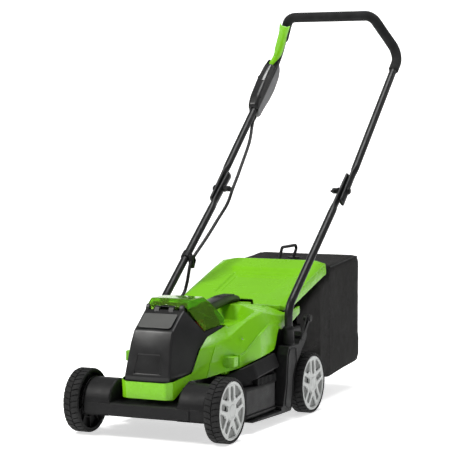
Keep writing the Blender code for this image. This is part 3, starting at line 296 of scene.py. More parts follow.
    board = Finish("circuit_board", (0.02, 0.12, 0.05), 0.40, Coat_Weight=0.4)
    board.vary(0.2, 60)
    tracks = board.ranged(board.pattern("Brick", 90), 0, 0.6)
    board.tinted(board.mixed(tracks, board.tint, (0.04, 0.20, 0.08)))
    keep("board", board.bump(board.pattern("Voronoi", 300), 0.0002), "circuit_board")
    return made


FINISHES = make_finishes()


# ---------------------------------------------------------------- mesh helpers

def face_out(mesh):
    bmesh.ops.recalc_face_normals(mesh, faces=mesh.faces)
    return mesh


def as_object(name, mesh):
    """A mesh as an object in the scene."""
    data = bpy.data.meshes.new(name)
    mesh.to_mesh(data)
    mesh.free()
    made = bpy.data.objects.new(name, data)
    bpy.context.scene.collection.objects.link(made)
    return made


def piece(name, mesh, finish, body, *stands_for, smooth=38, soften=0.0, segments=2):
    """A mesh drawn in the mower's frame becomes a piece on a CAD body. soften rounds its edges."""
    bmesh.ops.translate(mesh, verts=mesh.verts, vec=MIDDLE)
    if soften:
        weigh_edges(mesh, soften)
    made = as_object(name, mesh)
    data = made.data
    material, slot = FINISHES[finish]
    data.materials.append(material)
    data.shade_smooth()
    if soften:
        bevel = made.modifiers.new("Rounding", "BEVEL")
        bevel.limit_method = "WEIGHT"
        bevel.width = soften
        bevel.segments = segments
        bevel.use_clamp_overlap = False
        shading = made.modifiers.new("Shading", "WEIGHTED_NORMAL")
        shading.keep_sharp = False
        shading.weight = 80
    else:
        data.set_sharp_from_angle(angle=math.radians(smooth))
    if body:
        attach(made, body)
    if stands_for:
        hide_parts(*stands_for)
    return made


def weigh_edges(mesh, widest):
    """Gives each sharp edge a rounding as wide as its neighbours leave room for."""
    layer = mesh.edges.layers.float.new("bevel_weight_edge")
    for edge in mesh.edges:
        if len(edge.link_faces) != 2 or edge.calc_face_angle(0) < math.radians(14):
            continue
        room = widest
        run = (edge.verts[1].co - edge.verts[0].co).normalized()
        for face in edge.link_faces:
            for other in face.edges:
                shared = set(other.verts) & set(edge.verts)
                if other is edge or not shared:
                    continue
                corner = shared.pop()
                away = other.other_vert(corner).co - corner.co
                away_from_edge = run if edge.verts[0] is corner else -run
                cosine = max(-1.0, min(1.0, away.normalized().dot(away_from_edge)))
                if cosine > -0.87:
                    room = min(room, 0.42 * away.length * math.sqrt(max(0.0, 1 - cosine * cosine)))
        edge[layer] = room / widest


def band(mesh, one, other):
    """Faces from each stretch of a ring to the same stretch of the next."""
    for i in range(len(one)):
        j = (i + 1) % len(one)
        mesh.faces.new((one[i], one[j], other[j], other[i]))


def bridge(mesh, rings, closed):
    """Joins rings of equal counts, and closes the two ends with faces or the last ring to the first."""
    pairs = list(zip(rings, rings[1:]))
    if not closed:
        pairs.append((rings[-1], rings[0]))
    for one, other in pairs:
        band(mesh, one, other)
    if closed:
        mesh.faces.new(rings[0])
        mesh.faces.new(rings[-1])


PLACES = {
    "x": lambda a, b, c: (c, a, b),
    "y": lambda a, b, c: (a, c, b),
    "z": lambda a, b, c: (a, b, c),
}


def loft(rings, closed=True):
    """A mesh through rings of points, closed as in bridge."""
    mesh = bmesh.new()
    bridge(mesh, [[mesh.verts.new(point) for point in ring] for ring in rings], closed)
    return face_out(mesh)


def prism(outline, axis, low, high):
    """An outline across an axis, extruded along it. Outlines are (y, z), (x, z) or (x, y)."""
    return loft([[PLACES[axis](a, b, level) for a, b in outline] for level in (low, high)])


def box(low, high):
    (x0, y0, z0), (x1, y1, z1) = low, high
    return prism([(x0, y0), (x1, y0), (x1, y1), (x0, y1)], "z", z0, z1)


def circle(radius, steps, centre=(0, 0), start=-math.pi / 2, turn=2 * math.pi, ends=False):
    angles = [start + turn * i / steps for i in range(steps + 1 if ends else steps)]
    return [(centre[0] + radius * math.cos(a), centre[1] + radius * math.sin(a)) for a in angles]


def turned(profile, axis, centre, steps=64):
    """A closed profile of (place along the axis, radius) turned about it. centre is as in prism."""
    rings = []
    for i in range(steps):
        angle = 2 * math.pi * i / steps
        a, b = math.cos(angle), math.sin(angle)
        rings.append([PLACES[axis](centre[0] + r * a, centre[1] + r * b, t) for t, r in profile])
    return loft(rings, closed=False)


def drum(profile, centre, steps, place="x"):
    """A solid turned about an axis along X or Z from (place along the axis, radius), with flat ends."""
    if place == "x":
        return loft([[(t, centre[0] + a, centre[1] + b) for a, b in circle(r, steps)] for t, r in profile])
    return loft([[(centre[0] + a, centre[1] + b, t) for a, b in circle(r, steps)] for t, r in profile])


def moved(mesh, matrix):
    bmesh.ops.transform(mesh, matrix=matrix, verts=mesh.verts)
    return face_out(mesh)


def aimed(mesh, spot, normal):
    """Turns a mesh's +Z to a direction and moves it to a spot."""
    turn = Vector((0, 0, 1)).rotation_difference(Vector(normal)).to_matrix().to_4x4()
    return moved(mesh, Matrix.Translation(spot) @ turn)


def joined(meshes):
    """Several meshes as one."""
    whole = bmesh.new()
    for part in meshes:
        data = bpy.data.meshes.new("part")
        part.to_mesh(data)
        part.free()
        whole.from_mesh(data)
        bpy.data.meshes.remove(data)
    return whole


def rounded_path(corners, bends, steps=8):
    """The corners of a bent tube's centre line, each corner rounded by an arc of its bend radius."""
    points = [Vector(corners[0])]
    for before, corner, after, bend in zip(corners, corners[1:], corners[2:], bends):
        corner = Vector(corner)
        back, ahead = (Vector(before) - corner).normalized(), (Vector(after) - corner).normalized()
        half = back.angle(ahead) / 2
        if half > 1.56:
            points.append(corner)
            continue
        reach = bend / math.tan(half)
        centre = corner + (back + ahead).normalized() * (bend / math.sin(half))
        first, last = corner + back * reach - centre, corner + ahead * reach - centre
        turn = math.pi - 2 * half
        for i in range(steps + 1):
            part = i / steps
            mix = first * math.sin((1 - part) * turn) + last * math.sin(part * turn)
            points.append(centre + mix / math.sin(turn))
    return points + [Vector(corners[-1])]


def smooth_path(knots, parts=6):
    """A smooth curve through the knots (Catmull-Rom)."""
    knots = [Vector(k) for k in knots]
    ends = [2 * knots[0] - knots[1]] + knots + [2 * knots[-1] - knots[-2]]
    points = []
    for a, b, c, d in zip(ends, ends[1:], ends[2:], ends[3:]):
        for i in range(parts):
            t = i / parts
            bend = (2 * a - 5 * b + 4 * c - d) * t**2 + (3 * b - a - 3 * c + d) * t**3
            points.append(0.5 * (2 * b + (c - a) * t + bend))
    return points + [knots[-1]]


def tube(path, radius, sides=16, size=None):
    """A rod along a path. size(i), if given, is its half width across X and the other way at point i."""
    path = [Vector(p) for p in path]
    rings = []
    across = Vector((1, 0, 0))
    for i, point in enumerate(path):
        near = path[max(i - 1, 0):i + 2]
        ahead = sum(((b - a).normalized() for a, b in zip(near, near[1:])), Vector()).normalized()
        if abs(across.dot(ahead)) > 0.98:
            across = Vector((0, 1, 0))
        across = (across - ahead * across.dot(ahead)).normalized()
        up = ahead.cross(across)
        wide, high = size(i) if size else (radius, radius)
        angles = [2 * math.pi * (k + 0.5) / sides for k in range(sides)]
        rings.append([point + across * wide * math.cos(a) + up * high * math.sin(a) for a in angles])
    return loft(rings)


def ease(t):
    """0 to 1, with a gentle start and end."""
    t = max(0.0, min(1.0, t))
    return t * t * (3 - 2 * t)


def lengths(path):
    """How far along the path each of its points lies."""
    total = [0.0]
    for a, b in zip(path, path[1:]):
        total.append(total[-1] + (Vector(b) - Vector(a)).length)
    return total


def both_sides(build):
    for word, side in (("right", 1), ("left", -1)):
        build(word, side)


def span(side, inner, outer):
    """The two X limits of something between inner and outer on a side, in order."""
    return sorted((side * inner, side * outer))


def pair(outline, inner, outer):
    """The same prism along X at both sides."""
    return [prism(outline, "x", *span(side, inner, outer)) for side in (1, -1)]


def refined(node, finish, soften=0.001, name=None, segments=2, extra=()):
    """A CAD node's shape with its edges rounded, and with any extra meshes added to it."""
    mesh = bmesh.new()
    mesh.from_mesh(frame["nodes"][node].data)
    bmesh.ops.translate(mesh, verts=mesh.verts, vec=-MIDDLE)
    bmesh.ops.remove_doubles(mesh, verts=mesh.verts, dist=1e-5)
    bmesh.ops.dissolve_limit(mesh, angle_limit=math.radians(1.0), verts=mesh.verts, edges=mesh.edges)
    body = frame["nodes"][node]["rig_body"]
    whole = joined([mesh, *extra]) if extra else mesh
    return piece(name or f"{node}_detail", whole, finish, body, node, soften=soften, segments=segments)


# ---------------------------------------------------------------- wheels

LUGS = 34
TREAD_MIDDLE = 0.1800
TREAD_FOOT = 0.0722
BLOCK_SHARE = 0.80


def tread(side, y, z):
    """Blocks of a chevron tread, as prisms over a patch of the wheel's surface."""
    blocks = []
    pitch = 2 * math.pi / LUGS
    # Steps across the tread from its middle to the shoulder: place, lead of the block there, and drop.
    steps = [(0.0012, 0.30, 0.0), (0.0080, 0.12, 0.0), (0.0150, 0.0, 0.0), (0.0187, -0.02, 0.0016)]
    for half in (1, -1):
        for i in range(LUGS):
            start = i if half > 0 else i + 0.5
            rings = []
            for across, lead, drop in steps:
                x = side * (TREAD_MIDDLE + half * across)
                top = WHEEL_RADIUS - drop
                ring = []
                for edge, r in ((0, TREAD_FOOT), (0, top), (BLOCK_SHARE, top), (BLOCK_SHARE, TREAD_FOOT)):
                    angle = (start + lead + edge) * pitch
                    ring.append((x, y + r * math.cos(angle), z + r * math.sin(angle)))
                rings.append(ring)
            blocks.append(loft(rings))
    return blocks


def tyre(corner, side, y, z):
    profile = [
        (0.1612, 0.0683), (0.1605, 0.0696), (0.1605, 0.0708), (0.1613, 0.0719), (0.1632, 0.0726),
        (0.1968, 0.0726), (0.1987, 0.0719), (0.1995, 0.0708), (0.1995, 0.0696), (0.1988, 0.0683),
    ]
    carcass = turned([(side * x, r) for x, r in profile], "x", (y, z), 96)
    piece(f"tyre_tread_{corner}", joined([carcass, *tread(side, y, z)]), "rubber", f"wheel_{corner}",
          f"tyre_{corner}", smooth=30)


def hub(corner, side, y, z):
    """The black wheel body: a barrel, a web with ribs on its inner side, and a boss."""
    profile = [
        (0.1615, 0.0681), (0.1612, 0.0666), (0.1618, 0.0648), (0.1740, 0.0640), (0.1748, 0.0630),
        (0.1748, 0.0150), (0.1735, 0.0140), (0.1690, 0.0132), (0.1684, 0.0120), (0.1684, 0.0056),
        (0.1910, 0.0056), (0.1910, 0.0115), (0.1790, 0.0135), (0.1778, 0.0150), (0.1778, 0.0630),
        (0.1786, 0.0640), (0.1926, 0.0648), (0.1926, 0.0681),
    ]
    parts = [turned([(side * x, r) for x, r in profile], "x", (y, z), 72)]
    ring = [(0.1700, 0.0405), (0.1752, 0.0408), (0.1752, 0.0382), (0.1700, 0.0385)]
    parts.append(turned([(side * x, r) for x, r in ring], "x", (y, z), 60))
    for i in range(10):
        rib = box((0, -0.0011, 0.0125), (0.0075, 0.0011, 0.0645))
        for vert in rib.verts:
            vert.co.x = side * (0.1752 - vert.co.x * (0.55 if vert.co.z < 0.03 else 1.0))
        spin = Matrix.Rotation(2 * math.pi * i / 10, 4, "X")
        parts.append(moved(rib, Matrix.Translation((0, y, z)) @ spin))
    piece(f"wheel_body_{corner}", joined(parts), "black", f"wheel_{corner}", f"wheel_hub_{corner}", smooth=30)


CAP_RADIUS = 0.0674
CAP_X = 0.1935


def window(kind, turn, start=0.0):
    """One opening of the hub cap in its own plane: a slot in a spoke, or a lobe between two at the rim.

    start leaves out what lies nearer to the hub than this share of the cap's radius.
    """
    r = CAP_RADIUS
    if kind == "slot":
        half = [(0.33, 0.045), (0.37, 0.085), (0.74, 0.125), (0.815, 0.110), (0.840, 0.060)]
        shape = [(max(a, start) * r, -b * r) for a, b in half]
        shape += [(a, -b) for a, b in reversed(shape)]
    else:
        half = [(0.49, 0.045), (0.66, 0.190), (0.800, 0.290), (0.860, 0.290)]
        inner = [(max(a, start) * r, -b * r) for a, b in half]
        rim = [(0.905 * r * math.cos(t), 0.905 * r * math.sin(t)) for t in (-0.27, -0.14, 0.0, 0.14, 0.27)]
        shape = inner + rim + [(a, -b) for a, b in reversed(inner)]
    cos, sin = math.cos(turn), math.sin(turn)
    return [(a * cos - b * sin, a * sin + b * cos) for a, b in shape]


def shrunk(outline, share):
    """The outline scaled about its middle."""
    middle = [sum(p[k] for p in outline) / len(outline) for k in (0, 1)]
    return [tuple(m + (c - m) * share for c, m in zip(p, middle)) for p in outline]


def lobes():
    """Where each window between two spokes is turned to."""
    return [math.pi / 2 + math.pi / 5 + 2 * math.pi * i / 5 for i in range(5)]


def on_wheel(mesh, side, y, z):
    """Moves a mesh from the cap's own plane out to its wheel."""
    for vert in mesh.verts:
        vert.co = Vector((side * (CAP_X + vert.co.x), y + vert.co.y, z + vert.co.z))
    return face_out(mesh)


def cap_insets(corner, side, y, z):
    """The floors that lie deep in the outer part of each window, silver darkened to grey as painted shade of
    the recess; black shows through the rest.
    """
    floors = []
    for lobe in lobes():
        for outline in (window("lobe", lobe, 0.60), window("slot", lobe - math.pi / 5, 0.50)):
            floors.append(on_wheel(prism(shrunk(outline, 0.99), "x", 0.0002, 0.0012), side, y, z))
    piece(f"hub_cap_floors_{corner}", joined(floors), "recess_shade_grey", f"wheel_{corner}")


def cap_mesh():
    """The hub cap lies in the YZ plane with its front towards +X. Cut once, then used on all wheels."""
    crown = [
        (0.0, 0.0640), (0.0012, 0.0668), (0.0030, CAP_RADIUS), (0.0042, 0.0671), (0.0050, 0.0660),
        (0.0050, 0.0632), (0.0041, 0.0622), (0.0041, 0.0600), (0.0043, 0.0450), (0.0050, 0.0200),
        (0.0052, 0.0170), (0.0045, 0.0162), (0.0045, 0.0150), (0.0053, 0.0140), (0.0056, 0.0060),
    ]
    cap = as_object("cap_blank", drum(crown, (0, 0), 80))
    draft = ((-0.002, 0.88), (0.0002, 0.90), (0.0038, 0.97), (0.0060, 1.06))
    cutters = []
    for lobe in lobes():
        for kind, turn in (("slot", lobe - math.pi / 5), ("lobe", lobe)):
            outline = window(kind, turn)
            cutters.append(loft([[(level, *p) for p in shrunk(outline, share)] for level, share in draft]))
    return cut_shape(cap, as_object("cap_cutter", joined(cutters)))


def cut_shape(target, cutter):
    """The mesh that is left when one object is cut from another. Both objects go."""
    boolean = target.modifiers.new("Cut", "BOOLEAN")
    boolean.operation = "DIFFERENCE"
    boolean.solver = "EXACT"
    boolean.object = cutter
    bpy.context.view_layer.update()
    seen = target.evaluated_get(bpy.context.evaluated_depsgraph_get())
    mesh = bmesh.new()
    mesh.from_mesh(seen.data)
    for helper in (target, cutter):
        bpy.data.objects.remove(helper)
    return mesh


def hub_cap(corner, side, y, z, blank):
    piece(f"hub_cap_{corner}", on_wheel(blank.copy(), side, y, z), "silver", f"wheel_{corner}",
          f"hubcap_{corner}", soften=0.0005)


def wheels():
    """Four alike, drawn where they stand."""
    blank = cap_mesh()
    for end, y in (("front", 0.0), ("rear", WHEELBASE)):
        for word, side in (("right", 1), ("left", -1)):
            corner = f"{end}_{word}"
            tyre(corner, side, y, WHEEL_RADIUS)
            hub(corner, side, y, WHEEL_RADIUS)
            hub_cap(corner, side, y, WHEEL_RADIUS, blank)
            cap_insets(corner, side, y, WHEEL_RADIUS)
    blank.free()


# ---------------------------------------------------------------- moulded shells

def skin(points, faces):
    """The right half of a moulded skin and its mirror image, welded along x = 0."""
    mesh = bmesh.new()
    for side in (1, -1):
        made = {name: mesh.verts.new((side * x, y, z)) for name, (x, y, z) in points.items()}
        for face in faces:
            names = face.split()
            mesh.faces.new([made[n] for n in (names if side > 0 else reversed(names))])
    bmesh.ops.remove_doubles(mesh, verts=mesh.verts, dist=1e-5)
    return face_out(mesh)


def shell(name, mesh, finish, body, node, wall, soften, inside, segments=3):
    """A shell of even wall behind a skin, with its creases rounded."""
    away = sum(f.normal.dot(f.calc_center_median() - Vector(inside)) * f.calc_area() for f in mesh.faces)
    if away < 0:
        bmesh.ops.reverse_faces(mesh, faces=mesh.faces)
    made = piece(name, mesh, finish, body, node, soften=soften, segments=segments)
    thick = made.modifiers.new("Wall", "SOLIDIFY")
    thick.thickness = wall
    thick.offset = -1.0
    thick.use_even_offset = False
    made.modifiers.move(len(made.modifiers) - 1, 1)
    return made


SHROUD_POINTS = {
    # lower edge, front to back
    "b0": (0, -0.0415, 0.094), "b1": (0.050, -0.0405, 0.094), "b2": (0.0660, -0.030, 0.094),
    "b3": (0.084, 0.010, 0.1335), "b4": (0.101, 0.068, 0.1345), "b5": (0.115, 0.112, 0.140),
    "b6": (0.1375, 0.170, 0.1465), "b65": (0.145, 0.200, 0.153), "b75": (0.158, 0.245, 0.164),
    "b8": (0.158, 0.293, 0.169), "b9": (0.157, 0.322, 0.173), "n9": (0.1565, 0.333, 0.185),
    "n10": (0.1560, 0.352, 0.222), "n11": (0.1555, 0.372, 0.217), "n12": (0.1555, 0.417, 0.222),
    "n13": (0.1555, 0.484, 0.246),
    # upper edge of the chin and the edge that meets the motor cover
    "t0": (0, -0.0465, 0.133), "t1": (0.050, -0.0455, 0.133), "t2": (0.0665, -0.034, 0.136),
    "m3": (0.0790, 0.038, 0.148), "m4": (0.0815, 0.072, 0.199), "m5": (0.0865, 0.100, 0.225),
    "m6": (0.0985, 0.170, 0.2395), "m7": (0.093, 0.187, 0.245), "m8": (0, 0.191, 0.245),
    # upper crease
    "k4": (0.103, 0.085, 0.170), "k5": (0.109, 0.100, 0.209), "k6": (0.118, 0.145, 0.220),
    "k7": (0.130, 0.232, 0.254), "k8": (0.141, 0.290, 0.267), "k9": (0.149, 0.350, 0.254),
    "k10": (0.1545, 0.378, 0.251),
    # lower ridge
    "d5": (0.1150, 0.133, 0.169), "d6": (0.1340, 0.176, 0.171), "d65": (0.1430, 0.198, 0.185),
    "d75": (0.1560, 0.245, 0.219), "d8": (0.1560, 0.293, 0.237), "d9": (0.1560, 0.345, 0.236),
    "d10": (0.1555, 0.370, 0.235), "e12": (0.1555, 0.417, 0.254), "e13": (0.1555, 0.482, 0.264),
    "h12": (0.1500, 0.417, 0.254), "h13": (0.1500, 0.482, 0.263),
    # pocket under the carry handle
    "q7": (0.117, 0.232, 0.253), "p0": (0, 0.199, 0.235), "p1": (0.098, 0.203, 0.235),
    "p2": (0.107, 0.236, 0.235), "p3": (0.098, 0.288, 0.237), "p4": (0.045, 0.340, 0.237),
    "p5": (0, 0.348, 0.237),
    # flat top and its rear edge
    "f8": (0.114, 0.306, 0.267), "f9": (0.052, 0.366, 0.272), "f10": (0, 0.374, 0.273),
    "g0": (0.1490, 0.3925, 0.257), "g1": (0.112, 0.3925, 0.269), "g2": (0.062, 0.3925, 0.273),
    "g3": (0.046, 0.431, 0.2735), "g4": (0, 0.432, 0.274),
}
SHROUD_FACES = [
    "b0 b1 t1 t0", "b1 b2 t2 t1", "b2 b3 m3 t2", "b3 b4 k4 m3", "m3 k4 k5 m4", "m4 k5 k6 m5", "m5 k6 m6",
    "m6 k6 k7 q7", "b4 b5 d5 k4", "b5 b6 d6 d5", "k4 d5 d6 k5", "k5 d6 d65 k6", "k6 d65 d75 k7",
    "k7 d75 d8 k8", "k8 d8 d9 k9", "k9 d9 d10 k10", "b6 b65 d65 d6", "b65 b75 d75 d65", "b75 b8 d8 d75",
    "b8 b9 n9 d8", "n9 n10 d9 d8", "n10 n11 d10 d9", "n11 n12 e12 d10", "n12 n13 e13 e12", "d10 e12 k10",
    "k10 e12 h12 g0", "e12 e13 h13 h12", "m6 q7 p2 p1", "m7 m6 p1", "m8 m7 p1 p0", "p0 p1 p2 p3 p4 p5",
    "p2 q7 f8 p3", "p3 f8 f9 p4", "p4 f9 f10 p5", "q7 k7 k8 f8", "f8 k8 k9 g1", "k9 k10 g0 g1",
    "f9 f8 g1 g2", "f10 f9 g2 g3 g4",
]
COVER_POINTS = {
    "a1": (0, 0.051, 0.2895), "A1": (0.0505, 0.053, 0.2895), "a2": (0, 0.017, 0.265),
    "A2": (0.050, 0.020, 0.264), "a3": (0, -0.007, 0.247), "A3": (0.0505, -0.003, 0.246),
    "a4": (0, -0.021, 0.217), "A4": (0.0525, -0.017, 0.217), "a5": (0, -0.040, 0.145),
    "A5": (0.058, -0.036, 0.145), "a6": (0, -0.040, 0.126), "A6": (0.0575, -0.0355, 0.126),
    "s5": (0.0765, 0.038, 0.149), "s4": (0.0790, 0.071, 0.199), "s3": (0.0840, 0.099, 0.2245),
    "s2": (0.0955, 0.168, 0.2385), "u5": (0.0715, 0.038, 0.128), "u4": (0.0735, 0.071, 0.186),
    "u3": (0.0775, 0.101, 0.212), "u2": (0.0880, 0.164, 0.226), "v2": (0.0800, 0.097, 0.2375),
    "v3": (0.0925, 0.172, 0.2455), "r2": (0, 0.183, 0.2400), "r3": (0, 0.178, 0.2455),
    "w2": (0, 0.176, 0.226),
    # shallow recess low on the front
    "o1": (0, -0.0268, 0.195), "O1": (0.0290, -0.0247, 0.195), "o2": (0, -0.0389, 0.149),
    "O2": (0.0345, -0.0366, 0.149), "i1": (0, -0.0256, 0.1935), "I1": (0.0278, -0.0235, 0.1935),
    "i2": (0, -0.0370, 0.1505), "I2": (0.0330, -0.0347, 0.1505),
}
COVER_FACES = [
    "a1 A1 A2 a2", "a2 A2 A3 a3", "a3 A3 A4 a4", "a4 A4 O1 o1", "A4 A5 O2 O1", "A5 a5 o2 O2", "o1 O1 I1 i1",
    "O1 O2 I2 I1", "O2 o2 i2 I2", "i1 I1 I2 i2", "a5 A5 A6 a6", "A5 s5 u5 A6", "A4 s4 s5 A5", "s5 s4 u4 u5",
    "A3 s3 s4 A4", "s4 s3 u3 u4", "A2 v2 s3 A3", "A1 v2 A2", "s3 s2 u2 u3", "v2 v3 s2 s3", "v3 r3 r2 s2",
    "s2 r2 w2 u2",
]
LID_POINTS = {
    "a0": (0, 0.0600, 0.3005), "A": (0.0510, 0.0615, 0.2975), "b0": (0, 0.083, 0.3135),
    "B": (0.052, 0.085, 0.3125), "c0": (0, 0.152, 0.3135), "C": (0.052, 0.150, 0.3125),
    "d0": (0, 0.168, 0.297), "D": (0.071, 0.157, 0.296), "e0": (0, 0.183, 0.262),
    "E": (0.0950, 0.178, 0.262), "f0": (0, 0.180, 0.249), "F": (0.0945, 0.174, 0.249),
    "G": (0.0815, 0.097, 0.2405),
}
LID_FACES = [
    "a0 A B b0", "b0 B C c0", "c0 C D d0", "d0 D E e0", "e0 E F f0", "A G B", "B G D C", "G F E D",
]
FLAP_POINTS = {
    "a0": (0, 0.4385, 0.2810), "a05": (0.0475, 0.4375, 0.2805), "a08": (0.0655, 0.4030, 0.2735),
    "a1": (0.092, 0.4030, 0.2735), "a2": (0.135, 0.4030, 0.2725), "a3": (0.1478, 0.4090, 0.2680),
    "c0": (0, 0.470, 0.2900), "c05": (0.048, 0.470, 0.2900), "c1": (0.085, 0.470, 0.2900),
    "c2": (0.135, 0.470, 0.2950), "c3": (0.1478, 0.470, 0.2925), "d0": (0, 0.618, 0.3310),
    "d1": (0.092, 0.618, 0.3310), "d2": (0.135, 0.618, 0.3420), "d3": (0.1478, 0.618, 0.3390),
    "e0": (0, 0.630, 0.3420), "e1": (0.098, 0.630, 0.3420), "e2": (0.130, 0.660, 0.3560),
    "e3": (0.1478, 0.673, 0.3550), "f0": (0, 0.689, 0.3620), "f1": (0.108, 0.689, 0.3620),
    "s0": (0.1478, 0.4130, 0.2570), "s1": (0.1478, 0.470, 0.2680), "s2": (0.1478, 0.618, 0.3120),
    "s3": (0.1478, 0.675, 0.3280), "r0": (0, 0.6915, 0.3480), "r1": (0.108, 0.6915, 0.3480),
    "r3": (0.1478, 0.6760, 0.3400),
    # lip that turns down along the front edge
    "l05": (0.0478, 0.4370, 0.2755), "l08": (0.0655, 0.4015, 0.2640), "l1": (0.092, 0.4010, 0.2630),
    "l2": (0.135, 0.4015, 0.2610),
    # sunken panel in the middle, and the step round it
    "o0": (0, 0.4770, 0.2919), "o1": (0.078, 0.4770, 0.2919), "o2": (0.086, 0.6120, 0.3293),
    "o3": (0, 0.6120, 0.3293), "i0": (0, 0.4805, 0.2887), "i1": (0.0745, 0.4805, 0.2887),
    "i2": (0.0820, 0.6085, 0.3242), "i3": (0, 0.6085, 0.3242), "j0": (0, 0.4900, 0.2920),
    "j1": (0.0660, 0.4900, 0.2920), "j2": (0.0720, 0.5960, 0.3214), "j3": (0, 0.5960, 0.3214),
    "k0": (0, 0.4922, 0.2906), "k1": (0.0638, 0.4922, 0.2906), "k2": (0.0698, 0.5938, 0.3190),
    "k3": (0, 0.5938, 0.3190),
}
FLAP_FACES = [
    "a05 l05 l08 a08", "a08 l08 l1 a1", "a1 l1 l2 a2", "a2 l2 s0 a3", "a0 a05 c05 c0", "a05 a08 a1 c1 c05",
    "a1 a2 c2 c1", "a2 a3 c3 c2", "c0 c05 c1 o1 o0", "c1 d1 o2 o1", "d1 d0 o3 o2", "o0 o1 i1 i0",
    "o1 o2 i2 i1", "o2 o3 i3 i2", "i0 i1 j1 j0", "i1 i2 j2 j1", "i2 i3 j3 j2", "j0 j1 k1 k0", "j1 j2 k2 k1",
    "j2 j3 k3 k2", "k0 k1 k2 k3", "c1 c2 d2 d1", "c2 c3 d3 d2", "d0 d1 e1 e0", "d1 d2 e2 e1", "d2 d3 e3 e2",
    "e0 e1 f1 f0", "e1 e2 f1", "e2 e3 f1", "a3 s0 s1 c3", "c3 s1 s2 d3", "d3 s2 s3 r3 e3", "f0 f1 r1 r0",
    "f1 e3 r3 r1",
]


SCREW_RADIUS = 0.0035


def shells():
    shell("green_shroud_skin", skin(SHROUD_POINTS, SHROUD_FACES), "green", "root", "green_shroud",
          0.0024, 0.0032, (0, 0.2, 0.12))
    shell("motor_cover_skin", skin(COVER_POINTS, COVER_FACES), "satin_black", "root", "motor_cover",
          0.0024, 0.0042, (0, 0.1, 0.12))
    shell("lid_skin", skin(LID_POINTS, LID_FACES), "clear_green", "lid", "battery_lid",
          0.0022, 0.0022, (0, 0.12, 0.26))
    shell("flap_skin", skin(FLAP_POINTS, FLAP_FACES), "green", "flap", "rear_flap",
          0.0024, 0.0028, (0, 0.5, 0.1))


# ---------------------------------------------------------------- tubes, grip and cable

def upper_path(start=-0.045):
    """The centre line of the bent upper tube, from the fold at the right round to the left."""
    right = [Vector((UPPER_TUBE_X, FOLD.y, FOLD.z)) + ALONG * d for d in (start, 0.066, 0.090)]
    corners = right + [GRIP_BEND, GRIP_CORNER]
    corners += [Vector((-c.x, c.y, c.z)) for c in reversed(corners)]
    return rounded_path(corners, [0.3, 0.3, 0.045, 0.032, 0.032, 0.045, 0.3, 0.3], 10)


def flattened(path, ends):
    """Sizes along a tube that is pressed flat between pairs of lengths, and closes at its tips."""
    along = lengths(path)
    ramp, tip = 0.020, 0.003

    def size(i):
        flat = max(ease((along[i] - a) / ramp) * ease((b - along[i]) / ramp) for a, b in ends)
        wide = TUBE_RADIUS + (TUBE_FLAT[0] - TUBE_RADIUS) * flat
        high = TUBE_RADIUS + (TUBE_FLAT[1] - TUBE_RADIUS) * flat
        to_tip = max(min(along[i], along[-1] - along[i]), 0.0)
        shrink = 0.55 + 0.45 * min(1.0, math.sqrt(to_tip / tip))
        return wide * shrink, high * shrink

    return size


def divided(path, spacing):
    """The path with extra points, so that no stretch is longer than spacing."""
    points = [path[0]]
    for a, b in zip(path, path[1:]):
        count = max(1, math.ceil((b - a).length / spacing))
        points += [a.lerp(b, k / count) for k in range(1, count + 1)]
    return points


def with_tips(path):
    """Extra points close to both ends, where the tip is rounded."""
    head = [path[0].lerp(path[1], d / (path[1] - path[0]).length) for d in (0.0006, 0.0016, 0.003)]
    tail = [path[-1].lerp(path[-2], d / (path[-2] - path[-1]).length) for d in (0.003, 0.0016, 0.0006)]
    return [path[0], *head, *path[1:-1], *tail, path[-1]]


def tubes():
    """The handle's tubes, round for most of their length and pressed flat about the fold."""
    path = with_tips(divided(upper_path(), 0.012))
    total = lengths(path)[-1]
    size = flattened(path, [(-0.03, UPPER_FLAT), (total - UPPER_FLAT, total + 0.03)])
    piece("upper_tube_bent", tube(path, TUBE_RADIUS, 24, size), "powder_coat", "handle", "upper_tube")

    slope = Vector((0, math.cos(LOWER_SLOPE), math.sin(LOWER_SLOPE)))

    def lower(word, side):
        x = side * LOWER_TUBE_X
        corner = Vector((x, POST_Y, FOLD.z - (FOLD.y - POST_Y) * math.tan(LOWER_SLOPE)))
        fold = Vector((x, FOLD.y, FOLD.z))
        low_path = rounded_path([(x, POST_Y, 0.1285), corner, fold + 0.060 * slope], [0.055], 10)
        low_path = with_tips(divided(low_path, 0.012))
        length = lengths(low_path)[-1]
        shape = flattened(low_path, [(length - LOWER_FLAT, length + 0.03)])
        piece(f"lower_tube_bent_{word}", tube(low_path, TUBE_RADIUS, 24, shape), "powder_coat", "root",
              f"lower_tube_{word}")

    both_sides(lower)


GRIP_RADIUS = 0.0138
# The bends of upper_path that the foam covers, as first and last index.
GRIP_SPAN = 3, 36


def foam_grip():
    """The foam sleeve on the bent part of the handle, with soft ends and a faint unevenness."""
    bends = upper_path()
    first, last = GRIP_SPAN
    path = [bends[first] - ALONG * 0.030, *bends[first:last]]
    path.append(bends[last - 1].lerp(bends[last], 0.72))
    path = divided(path, 0.006)
    along = lengths(path)

    def size(i):
        end = min(along[i], along[-1] - along[i])
        radius = GRIP_RADIUS - 0.0022 * (1 - ease(end / 0.005)) + 0.00025 * noise.noise(path[i] * 45)
        return radius, radius

    made = piece("foam_sleeve", tube(path, GRIP_RADIUS, 28, size), "foam", "handle", "foam_grip", smooth=60)


def box_point(along, above, x=0.0):
    """A point near the switch box: metres up the left upper tube, metres over it, and x."""
    return Vector((x, FOLD.y, FOLD.z)) + ALONG * along + ABOVE * above


